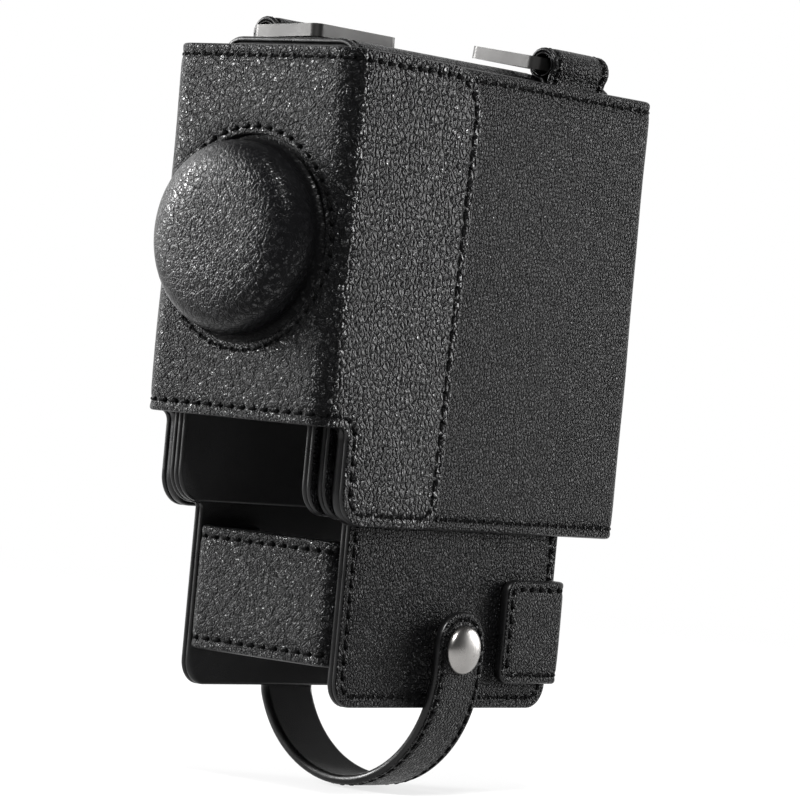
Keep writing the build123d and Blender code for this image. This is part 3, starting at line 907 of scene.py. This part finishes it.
def make_suede(colours):
    """Brushed black suede."""
    nodes = Finish("Suede lining")
    where = nodes.pattern()
    nap = nodes.noise(where, 2600.0, 3.0, 0.7)
    patch = nodes.noise(where, 70.0, 3.0, 0.6)
    tone = nodes.times(nap, nodes.ramp(patch, 0.3, 0.7, 0.7, 1.1))
    return nodes.show(
        {
            "Base Color": nodes.tint(tone, dimmed(colours.suede, 0.5), dimmed(colours.suede, 1.5)),
            "Roughness": nodes.ramp(nap, 0.2, 0.8, 0.95, 0.82),
            "Normal": nodes.bump(nap, 0.00018, 0.8),
            "Sheen Weight": 0.05,
            "Sheen Roughness": 0.5,
            "IOR": 1.2,
        }
    )


def make_thread(colours):
    """Black twisted thread."""
    nodes = Finish("Waxed thread")
    inputs = {"Vector": nodes.pattern(), "Scale": 700.0, "Distortion": 1.0}
    wave = nodes.add("ShaderNodeTexWave", inputs, wave_type="BANDS", bands_direction="DIAGONAL")
    twist = wave.outputs["Fac"]
    return nodes.show(
        {
            "Base Color": nodes.tint(twist, dimmed(colours.thread, 0.6), colours.thread),
            "Roughness": nodes.ramp(twist, 0.0, 1.0, 0.95, 0.8),
            "Normal": nodes.bump(twist, 0.00012, 0.7),
            "IOR": 1.15,
        }
    )


def metal_finish(name, base, low, high, blotch, grain):
    """Plated metal, brushed and a little tarnished."""
    nodes = Finish(name)
    where = nodes.add("ShaderNodeTexCoord").outputs["Object"]
    cloud = nodes.noise(where, blotch, 4.0, 0.6)
    stretch = nodes.add("ShaderNodeMapping", {"Vector": where, "Scale": (1, 1, 9)})
    lines = nodes.noise(stretch.outputs[0], grain, 2.0, 0.6)
    return nodes.show(
        {
            "Base Color": nodes.tint(nodes.ramp(cloud, 0.3, 0.7), dimmed(base, 0.85), base),
            "Roughness": nodes.ramp(cloud, 0.3, 0.7, high, low),
            "Normal": nodes.bump(lines, 0.000012, 0.25),
            "Metallic": 1.0,
        }
    )


def make_nickel(colours):
    return metal_finish("Satin nickel", colours.nickel, 0.42, 0.48, 90.0, 900.0)


def make_dark_nickel(colours):
    return metal_finish("Antique nickel", colours.dark_nickel, 0.26, 0.34, 160.0, 1500.0)


FINISHES = {
    "leather": make_leather,
    "fine_leather": make_fine_leather,
    "cup_leather": make_cup_leather,
    "paint": make_paint,
    "suede": make_suede,
    "thread": make_thread,
    "nickel": make_nickel,
    "dark_nickel": make_dark_nickel,
}
made_finishes = {}


def finish(name):
    """The material of that name, made once."""
    if name not in made_finishes:
        made_finishes[name] = FINISHES[name](bpy.context.scene.case_finish)
    return made_finishes[name]


def refinish(node, name, bevel=0.0):
    """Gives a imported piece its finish, and eases its edges."""
    piece = frame["nodes"][node]
    piece.data.materials.clear()
    piece.data.materials.append(finish(name))
    if bevel:
        ease = piece.modifiers.new("Eased edges", "BEVEL")
        ease.width = bevel
        ease.segments = 3
        ease.limit_method = "ANGLE"
        ease.angle_limit = math.radians(40)


def take(piece, body, slot, *nodes):
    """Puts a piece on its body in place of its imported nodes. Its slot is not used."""
    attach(piece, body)
    if nodes:
        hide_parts(*nodes)


def fit(body, slot, nodes, name, lay, outline, thickness, thread=None, **cut):
    """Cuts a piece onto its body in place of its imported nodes, and sews its seams with thread."""
    take(cut_leather(name, lay, outline, thickness, **cut), body, slot, *nodes)
    if thread:
        take(sew(thread, lay, cut["seams"]), body, "leather")


# ------------------------------------------------------------------ operators


class CASE_OT_cover(bpy.types.Operator):
    """Cut and sew the sleeve's front wall and rear wall"""

    bl_idname = "case.cover"
    bl_label = "Sleeve"

    def execute(self, context):
        self.front(context.scene.case_cover, context.scene.case_sewing)
        self.rear(context.scene.case_cover, context.scene.case_sewing)
        return {"FINISHED"}

    def front(self, sizes, sewing):
        """The front leather with its wings, the stiffener behind it and their seams."""
        half, front, top, low = COVER_HIGH.x, COVER_LOW.y, COVER_HIGH.z, COVER_LOW.z
        wall = half - SLEEVE_LINING_HIGH.x + sizes.lining
        lay = Lay(bent(-half, front + WING_RUN, front, sizes.corner, bend=5), "XY", zero=0.5)
        turn = half - sizes.corner + sizes.corner * math.pi / 2 - sizes.corner
        right = [
            (turn + sizes.wing_front, top - sizes.panel_height, sizes.notch),
            (turn + sizes.wing_front, low, sizes.wing_toe),
            (turn + sizes.wing_bottom, low, sizes.wing_low_corner),
            (turn + sizes.wing_top, top, sizes.wing_top_corner),
        ]
        outline = cornered(right + [(-u, v, radius) for u, v, radius in reversed(right)])
        centre = (0.0, CUP_HEIGHT)
        lap = turn + sizes.rear_start - LAP_ROOM
        bends = np.linspace(half - sizes.corner, turn + sizes.corner, 14)
        laps = [lap - LAP_STEP, lap + LAP_STEP, -lap + LAP_STEP, -lap - LAP_STEP]
        lines = np.concatenate([bends, -bends, laps])
        seams = [edge_seam(outline, sewing.inset), Seam(circle(centre, sewing.ring_seam))]
        fit(
            "cover", "leather", ["cover_front"], "sleeve_front_wall", lay, outline, sizes.leather,
            holes=[circle(centre, sizes.cup_hole)], seams=seams, outer_round=sizes.edge,
            inner_round=0.0004, lines=lines, wing=(turn - WING_FADE, turn + WING_FADE),
        )
        set_in = [min(max(u, -lap), lap) for u in outline[:, 0]]
        fit(
            "cover", "board", ["cover_front_board"], "sleeve_front_stiffener",
            Sunk(lay, sizes.leather), np.column_stack([set_in, outline[:, 1]]),
            wall - sizes.leather, holes=[circle(centre, sizes.cup_base + BOARD_ROOM)],
            outer_round=0.0011, inner_round=0.0011, lines=lines, unevenness=0.0,
            materials=("paint", "paint", "suede"),
        )
        take(sew("sleeve_front_thread", lay, seams), "cover", "leather")

    def rear(self, sizes, sewing):
        """The rear wrap, lapped under the wings, and its two rows of stitches."""
        half, back, top, low = REAR_HIGH.x, REAR_HIGH.y, COVER_HIGH.z, COVER_LOW.z
        start = COVER_LOW.y + sizes.rear_start
        lay = Lay(bent(half, start - SPARE, back, sizes.rear_corner, bend=6), "XY", zero=0.5)
        end = lay.run[-1] - SPARE
        rows = seam_rows(-end + ROW_END, end - ROW_END, (low + sewing.inset, top - sewing.inset))
        bends = np.linspace(half - sizes.rear_corner, half + sizes.rear_corner * 0.6, 12)
        fit(
            "cover", "leather", ["cover_back", "cover_lining"], "sleeve_rear_wall", lay,
            oblong(-end, end, low, top), half - SLEEVE_LINING_HIGH.x + sizes.lining,
            thread="sleeve_rear_thread", seams=rows, outer_round=0.0013, inner_round=0.001,
            lines=np.concatenate([bends, -bends]), materials=FINE,
        )


class CASE_OT_cup(bpy.types.Operator):
    """Mould the lens cup"""

    bl_idname = "case.cup"
    bl_label = "Lens cup"

    def execute(self, context):
        sizes = context.scene.case_cover
        foot = sizes.cup_root - sizes.leather
        rise = COVER_LOW.y - CUP_LOW.y - foot
        square = 2 / sizes.cup_fullness
        shell = []
        for inset in (0.0, sizes.leather):
            base, root = sizes.cup_base - inset, sizes.cup_root + inset
            dome = [
                (base * max(1e-6, math.sin(a)) ** square, foot + (rise - inset) * math.cos(a) ** square)
                for a in np.linspace(0, math.pi / 2, 60)
            ]
            bend = [
                (sizes.cup_base + sizes.cup_root - root * math.cos(a), foot - root * math.sin(a))
                for a in np.linspace(0, math.pi / 2, 8)[1:]
            ]
            edge = [(sizes.cup_flange, -sizes.leather - inset)]
            wall = spaced(np.array(dome + bend + edge), HOLE_GAP, closed=False)
            shell.extend(wall if inset == 0 else wall[::-1])
        centre = (0.0, COVER_LOW.y, CUP_HEIGHT)
        cup = turned("lens_cup_shell", shell, centre, (0, -1, 0), 128, "cup_leather")
        # stretch flattens the grain on the cup's wall. The sewn mark here is painted shade, not a seam: it
        # darkens the colour and reflection of the root valley and flange next to the front panel.
        marks = {
            "stretch": lambda p: (math.hypot(p.x, p.z - CUP_HEIGHT) / sizes.cup_base - 0.65) / 0.3,
            "sewn": lambda p: (0.0035 - (COVER_LOW.y - p.y)) / 0.0025,
        }
        for name, share in marks.items():
            values = cup.data.attributes.new(name, "FLOAT", "POINT").data
            for point, value in zip(cup.data.vertices, values):
                value.value = min(1.0, max(0.0, share(point.co)))
        take(cup, "cover", "leather", "lens_cup")
        refinish("lens_cup_lining", "suede")
        return {"FINISHED"}


class CASE_OT_panels(bpy.types.Operator):
    """Cut and sew the holster's side panels"""

    bl_idname = "case.panels"
    bl_label = "Side panels"

    def execute(self, context):
        sizes = context.scene.case_holster
        low, high = PANEL_LOW, PANEL_HIGH
        front = COVER_LOW.y + sizes.panel_front
        back = COVER_LOW.y + sizes.panel_back
        step = COVER_HIGH.z - sizes.step_drop
        corners = [
            (front, low.z, sizes.panel_corner),
            (back, low.z, sizes.panel_corner),
            (back, step, sizes.panel_inner),
            (high.y, step, sizes.panel_toe),
            (high.y, high.z, sizes.panel_top_corner),
            (low.y, high.z, sizes.panel_top_corner),
            (low.y, step, sizes.panel_toe),
            (front, step, sizes.panel_inner),
        ]
        outline = cornered(corners)
        for side, sign in SIDES:
            fit(
                "holster", "leather", [f"side_panel_{side}"], f"side_panel_{side}_leather",
                Flat(sign * high.x), outline, sizes.ply, thread=f"side_panel_{side}_thread",
                seams=[edge_seam(outline, context.scene.case_sewing.inset)], materials=FINE,
                unevenness=0.00005,
            )
            near, far, floor = loop_slot(side, sizes.loop_slot)
            slot = [(far, high.z, 0), (far, floor, 0), (near, floor, 0), (near, high.z, 0)]
            fit(
                "holster", "lining", [f"side_lining_{side}"], f"side_panel_{side}_lining",
                Flat(sign * PANEL_LINING_HIGH.x), cornered(corners[:5] + slot + corners[5:]),
                PANEL_LINING_HIGH.x - PANEL_LINING_LOW.x, materials=("suede", "paint", "suede"),
                unevenness=0.0,
            )
        return {"FINISHED"}


def loop_slot(side, room):
    """The front, back and floor of the slot round a strap loop's tail."""
    low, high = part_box(f"strap_loop_{side}")
    middle = RING_HINGE[side].y
    width = (high.y - low.y) / 2 + room
    return middle - width, middle + width, low.z - room


class CASE_OT_saddle(bpy.types.Operator):
    """Arch the saddle's two plies over the camera's place"""

    bl_idname = "case.saddle"
    bl_label = "Saddle"

    def execute(self, context):
        sizes = context.scene.case_holster
        low, high = SADDLE_LOW, SADDLE_HIGH
        line = bent(high.x, low.z - SPARE, high.z, sizes.saddle_shoulder)
        lay = Lay(spaced(line, 0.003, closed=False), "XZ", zero=0.5)
        end = lay.run[-1] - SPARE
        over, cheek = high.x, high.x + SADDLE_EASE
        brow = low.y + sizes.saddle_brow
        outline = cornered(
            [
                (-end, low.y, sizes.saddle_toe),
                (-cheek, low.y, BROW_BEND),
                (-over, brow, BROW_BEND),
                (over, brow, BROW_BEND),
                (cheek, low.y, BROW_BEND),
                (end, low.y, sizes.saddle_toe),
                (end, high.y, sizes.saddle_toe),
                (-end, high.y, sizes.saddle_toe),
            ]
        )
        seams = [edge_seam(outline, context.scene.case_sewing.inset)]
        lined = ("suede", "paint", "suede")
        for name, node, slot, inset, thread, sewn, materials in (
            ("saddle_leather", "saddle", "leather", 0.0, "saddle_thread", seams, FINE),
            ("saddle_suede", "saddle_lining", "lining", sizes.saddle_ply, None, [], lined),
        ):
            fit(
                "holster", slot, [node], name, Sunk(lay, inset), outline, sizes.saddle_ply,
                thread=thread,
                holes=[self.slot(lay, side, sign, sizes, outermost=inset == 0) for side, sign in SIDES],
                seams=sewn, lines=np.linspace(-0.05, 0.05, 60), materials=materials,
                unevenness=0.00004,
            )
        return {"FINISHED"}

    def slot(self, lay, side, sign, sizes, outermost):
        """The hole that a strap loop's tail passes through."""
        near, far, foot = loop_slot(side, sizes.loop_slot)
        if not outermost:
            foot = PANEL_HIGH.z - sizes.loop_slot
        edge = RING_HINGE["right"].x - sizes.loop - sizes.loop_slot
        stop = sign * lay.find(lambda p: p[1] > foot)
        begin = sign * lay.find(lambda p: p[0] < edge)
        hole = rounded([(begin, near), (begin, far), (stop, far), (stop, near)], [SHARP_CORNER] * 4)
        area = sum(a[0] * b[1] - b[0] * a[1] for a, b in spans(hole))
        return hole[::-1] if area > 0 else hole


class CASE_OT_bands(bpy.types.Operator):
    """Cut and sew the bands across the lower front and round the lower back"""

    bl_idname = "case.bands"
    bl_label = "Bands"

    def execute(self, context):
        sizes = context.scene.case_holster
        inset = context.scene.case_sewing.inset
        for name, thick, corner, tip, materials in (
            ("front_band", sizes.front_band, sizes.band_corner, 0.0, ("leather", "paint", "suede")),
            ("rear_band", sizes.rear_band, REAR_BAND_BEND, sizes.rear_band_corner, FINE),
        ):
            low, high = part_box(name)
            half = high.x
            if name == "front_band":
                line = bent(-half, high.y + SPARE, low.y, corner, bend=6)
            else:
                line = bent(half, low.y - SPARE, high.y, corner, bend=6)
            lay = Lay(spaced(line, 0.004, closed=False), "XY", zero=0.5)
            end = lay.run[-1] - SPARE
            outline = rounded(oblong(-end, end, low.z, high.z), [max(tip, SHARP_CORNER)] * 4)
            if tip:
                seams = [edge_seam(outline, inset * 0.85)]
            else:
                seams = seam_rows(-end + ROW_END, end - ROW_END, (low.z + inset, high.z - inset))
            bends = np.linspace(half - corner - BAND_SLACK, half + corner * 0.6 + BAND_SLACK, 12)
            fit(
                "holster", "leather", [name, f"{name}_lining"], f"{name}_leather", lay, outline,
                thick, thread=f"{name}_thread", seams=seams, outer_round=0.0012, inner_round=0.001,
                lines=np.concatenate([bends, -bends]), materials=materials,
            )
        return {"FINISHED"}


class CASE_OT_strap(bpy.types.Operator):
    """Cut, bend and sew the bottom strap, whose free end rises to the press stud"""

    bl_idname = "case.strap"
    bl_label = "Bottom strap"

    def execute(self, context):
        sizes = context.scene.case_holster
        lay = Lay(spaced(self.path(sizes), 0.003, closed=False), "XZ")
        corners = oblong(SPARE, lay.run[-1] - SPARE, STRAP_LOW.y, STRAP_HIGH.y)
        outline = rounded(corners, [sizes.strap_round] * 4)
        seam = edge_seam(outline, context.scene.case_sewing.strap_inset, pitch=STRAP_PITCH)
        strap = cut_leather(
            "bottom_strap_leather", lay, outline, sizes.strap, seams=[seam], outer_round=0.0014,
            inner_round=0.0014, gap=0.0025, materials=FINE,
        )
        thread = sew("bottom_strap_thread", lay, [seam])
        for piece in (strap, thread):
            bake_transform(piece)
        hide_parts("bottom_strap", "bottom_strap_lining", "strap_end", "strap_end_lining")
        return {"FINISHED"}

    def path(self, sizes):
        """Down from the left end, round below the base and up to the press stud at the right."""
        right, left = STRAP_END_HIGH.x, -STRAP_LOW.x
        bottom, tip = STRAP_LOW.z, STRAP_HIGH.z + SPARE
        level, left_level = COVER_HIGH.z - sizes.strap_level, PANEL_LOW.z
        sag, left_sag = level - bottom, left_level - bottom
        bend = sizes.strap_bend
        inward = left - bend
        sweep = (inward**2 + left_sag**2 - bend**2) / (2 * (left_sag - bend))
        turn = math.pi + math.atan2(sweep - left_sag, inward)
        line = [(-left, tip), (-left, left_level)]
        line += arc((-inward, left_level), bend, np.linspace(math.pi, turn, 9)[1:])
        line += arc((0.0, bottom + sweep), sweep, np.linspace(turn, 1.5 * math.pi, 25)[1:])
        for angle in np.linspace(1.5 * math.pi, 2 * math.pi, 31)[1:]:
            line.append((right * math.cos(angle), level + sag * math.sin(angle)))
        return np.array([*line, (right, tip)])


class CASE_OT_loops(bpy.types.Operator):
    """Roll and sew the two loops that hold the rings"""

    bl_idname = "case.loops"
    bl_label = "Strap loops"

    def execute(self, context):
        sizes = context.scene.case_holster
        outer_x, top = PANEL_LOW.x, PANEL_HIGH.z
        inner_x = outer_x - sizes.loop_tail
        materials = ("fine_leather", "paint", "paint")
        for side, sign in SIDES:
            low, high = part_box(f"strap_loop_{side}")
            centre = np.array([abs(RING_HINGE[side].x), RING_HINGE[side].z])
            first = -math.acos((outer_x - centre[0]) / sizes.loop) + LOOP_OVERLAP
            line = [(outer_x, low.z - SPARE), (outer_x, top), (outer_x, -sizes.loop * 0.86)]
            line += arc(centre, sizes.loop, np.linspace(first, 1.5 * math.pi - LOOP_OVERLAP, 44))
            line += [(inner_x, -sizes.loop * 1.25), (inner_x, low.z - SPARE)]
            if sign < 0:
                line = [(-x, z) for x, z in reversed(line)]
            lay = Lay(line, "XZ")
            end = lay.run[-1] - SPARE
            tail = top - low.z
            heights = (low.y + LOOP_INSET, high.y - LOOP_INSET)
            rows = seam_rows(SPARE + tail, end - tail, heights, pitch=LOOP_PITCH)
            fit(
                "holster", "leather", [f"strap_loop_{side}"], f"strap_loop_{side}_leather", lay,
                oblong(SPARE, end, low.y, high.y), sizes.loop_ply,
                thread=f"strap_loop_{side}_thread", seams=rows, outer_round=0.0006,
                inner_round=0.0005, gap=0.0012, materials=materials, unevenness=0.00003,
            )
            radius = sizes.loop - sizes.loop_ply - LOOP_CLEAR
            angles = np.linspace(-math.pi * 0.49, math.pi * 1.49, 60)
            lay = Lay(arc(centre * np.array([sign, 1]), radius, angles), "XZ")
            fit(
                "holster", "leather", [], f"strap_loop_{side}_sleeve", lay,
                oblong(0.0, lay.run[-1], low.y, high.y), radius - sizes.loop_bore,
                outer_round=0.0003, inner_round=0.0003, gap=0.0012, materials=materials,
                unevenness=0.0,
            )
        return {"FINISHED"}


class CASE_OT_metal(bpy.types.Operator):
    """Finish the rings and the press stud"""

    bl_idname = "case.metal"
    bl_label = "Rings and press stud"

    def execute(self, context):
        for side, _ in SIDES:
            refinish(f"strap_ring_{side}", "nickel", bevel=0.00025)
        for node in ("snap_stud", "snap_stud_eyelet", "snap_socket"):
            refinish(node, "dark_nickel")
        low, high = CAP_LOW, CAP_HIGH
        radius = (high.y - low.y) / 2
        centre = (STRAP_END_HIGH.x - 0.0004, (low.y + high.y) / 2, (low.z + high.z) / 2)
        rim = 0.0007
        rise = high.x - centre[0] - rim
        profile = [(radius * 0.5, -0.002), (radius * 0.9, -0.0001), (radius, 0.0002), (radius, rim)]
        for angle in np.linspace(0.12, 1.0, 14) * math.pi / 2:
            reach = max(0.0001, radius * 0.985 * math.cos(angle) ** 0.8)
            profile.append((reach, rim + rise * math.sin(angle)))
        cap = turned("snap_cap_dome", profile, centre, (1, 0, 0), 64, "dark_nickel")
        take(cap, "strap_end", "dark_nickel", "snap_cap")
        return {"FINISHED"}


def towards(azimuth, elevation):
    """The direction from the case to a camera or lamp at those angles."""
    level = math.cos(elevation)
    return Vector((math.sin(azimuth) * level, -math.cos(azimuth) * level, math.sin(elevation)))


class CASE_OT_stage(bpy.types.Operator):
    """Set the camera, the lamps and a pale floor"""

    bl_idname = "case.stage"
    bl_label = "Stage"

    def execute(self, context):
        stage = context.scene.case_stage
        self.camera(context, stage)
        self.floor(context, stage)
        self.lamps(context, stage)
        self.sky(context, stage)
        context.scene.view_settings.view_transform = "Standard"
        return {"FINISHED"}

    def camera(self, context, stage):
        """A long lens aimed at the middle of the case, a little rolled."""
        camera = bpy.data.cameras.new("Camera")
        camera.lens = stage.lens
        camera.sensor_width = 36.0
        camera.clip_start, camera.clip_end = 0.01, 20.0
        holder = bpy.data.objects.new("Camera", camera)
        context.scene.collection.objects.link(holder)
        back = towards(stage.azimuth, stage.elevation)
        level = Vector((0, 0, 1)).cross(back).normalized()
        up = back.cross(level) * math.cos(stage.roll) - level * math.sin(stage.roll)
        turn = Matrix((up.cross(back), up, back)).transposed()
        holder.matrix_world = Matrix.Translation(AIM + back * stage.distance) @ turn.to_4x4()
        context.scene.camera = holder

    def floor(self, context, stage):
        """A pale floor just under the case, which keeps its shadow."""
        level = CAD_BOX[0].z - stage.floor_drop
        mesh = bpy.data.meshes.new("floor")
        corners = oblong(-FLOOR_REACH, FLOOR_REACH, -FLOOR_REACH, FLOOR_REACH)
        mesh.from_pydata([(x, y, level) for x, y in corners], [], [(0, 1, 2, 3)])
        floor = bpy.data.objects.new("floor", mesh)
        context.scene.collection.objects.link(floor)
        material = bpy.data.materials.new("Pale floor")
        nodes = Nodes(material)
        place = nodes.add("ShaderNodeNewGeometry").outputs["Position"]
        pale = nodes.add("ShaderNodeBsdfDiffuse", {"Color": (0.85, 0.85, 0.85, 1)})
        white = nodes.add("ShaderNodeEmission", {"Strength": self.backdrop(nodes, stage, place, 4.0)})
        away = nodes.vector("LENGTH", place).outputs["Value"]
        share = nodes.times(self.seen(nodes), nodes.ramp(away, 0.15, 1.2, 0.75, 1.0))
        nodes.mix(share, pale, white)
        mesh.materials.append(material)

    def backdrop(self, nodes, stage, place, near):
        """White to the camera. Metal and gloss see white behind the case and a dimmer room in front."""
        behind = (-math.sin(stage.azimuth), math.cos(stage.azimuth), 0)
        ahead = nodes.plus(nodes.vector("DOT_PRODUCT", place, behind).outputs["Value"], near)
        away = nodes.plus(nodes.vector("LENGTH", place).outputs["Value"], near)
        fade = nodes.ramp(nodes.maths("DIVIDE", ahead, away), 0.4, 0.85, stage.room, 1.0)
        camera = nodes.add("ShaderNodeLightPath").outputs["Is Camera Ray"]
        return nodes.maths("MAXIMUM", fade, camera)

    def seen(self, nodes):
        """1 for what the camera sees, straight on or in metal and gloss."""
        path = nodes.add("ShaderNodeLightPath")
        total = path.outputs["Is Camera Ray"]
        for name in ("Is Glossy Ray", "Is Transmission Ray"):
            total = nodes.maths("MAXIMUM", total, path.outputs[name])
        return total

    def lamps(self, context, stage):
        """A wide window and a lamp at the left, a window at the back right and a lamp overhead."""
        for name, azimuth, elevation, width, height, share in (
            ("Left window", -69, 20, 1.2, 1.0, 0.85),
            ("Left lamp", -57, 15, 0.34, 0.34, 1.5),
            ("Back window", 157, 11, 0.4, 0.5, 0.9),
            ("Top lamp", 42, 53, 0.3, 0.3, 1.7),
        ):
            lamp = bpy.data.lights.new(name, "AREA")
            lamp.shape = "RECTANGLE"
            lamp.size, lamp.size_y = width, height
            lamp.energy = stage.window_power * share
            holder = bpy.data.objects.new(name, lamp)
            context.scene.collection.objects.link(holder)
            back = towards(math.radians(azimuth), math.radians(elevation))
            holder.location = AIM + back * LAMP_DISTANCE
            holder.rotation_mode = "QUATERNION"
            holder.rotation_quaternion = back.to_track_quat("Z", "Y")
            holder.visible_camera = False

    def sky(self, context, stage):
        """White behind the case, soft grey light round it."""
        world = bpy.data.worlds.new("Studio")
        context.scene.world = world
        nodes = Nodes(world, "ShaderNodeOutputWorld")
        place = nodes.add("ShaderNodeTexCoord").outputs["Generated"]
        strength = self.backdrop(nodes, stage, place, 0.0)
        soft, white = (
            nodes.add("ShaderNodeBackground", {"Color": (1, 1, 1, 1), "Strength": light})
            for light in (0.3, strength)
        )
        nodes.mix(self.seen(nodes), soft, white)


class CASE_PT_panel(bpy.types.Panel):
    """Lists the case's pieces"""

    bl_idname = "CASE_PT_panel"
    bl_label = "Leather Case"
    bl_space_type = "VIEW_3D"
    bl_region_type = "UI"
    bl_category = "Case"

    def draw(self, context):
        for operator in OPERATORS:
            self.layout.operator(operator.bl_idname)
        for group in (context.scene.case_cover, context.scene.case_holster, context.scene.case_sewing):
            box = self.layout.box()
            for key in group.bl_rna.properties.keys():
                if key not in ("rna_type", "name"):
                    box.prop(group, key)


GROUPS = {
    "case_cover": CaseCover,
    "case_holster": CaseHolster,
    "case_sewing": CaseSewing,
    "case_finish": CaseFinish,
    "case_stage": CaseStage,
}
OPERATORS = (
    CASE_OT_stage,
    CASE_OT_cover,
    CASE_OT_cup,
    CASE_OT_panels,
    CASE_OT_saddle,
    CASE_OT_bands,
    CASE_OT_strap,
    CASE_OT_loops,
    CASE_OT_metal,
)


def register():
    for cls in (*GROUPS.values(), *OPERATORS, CASE_PT_panel):
        bpy.utils.register_class(cls)
    for name, cls in GROUPS.items():
        setattr(bpy.types.Scene, name, PointerProperty(type=cls))


def unregister():
    for name in GROUPS:
        delattr(bpy.types.Scene, name)
    for cls in reversed((*GROUPS.values(), *OPERATORS, CASE_PT_panel)):
        bpy.utils.unregister_class(cls)


def main():
    """Builds the case's looks."""
    register()
    bpy.ops.case.stage()
    bpy.ops.case.cover()
    bpy.ops.case.cup()
    bpy.ops.case.panels()
    bpy.ops.case.saddle()
    bpy.ops.case.bands()
    bpy.ops.case.strap()
    bpy.ops.case.loops()
    bpy.ops.case.metal()


if __name__ == "__main__":
    main()
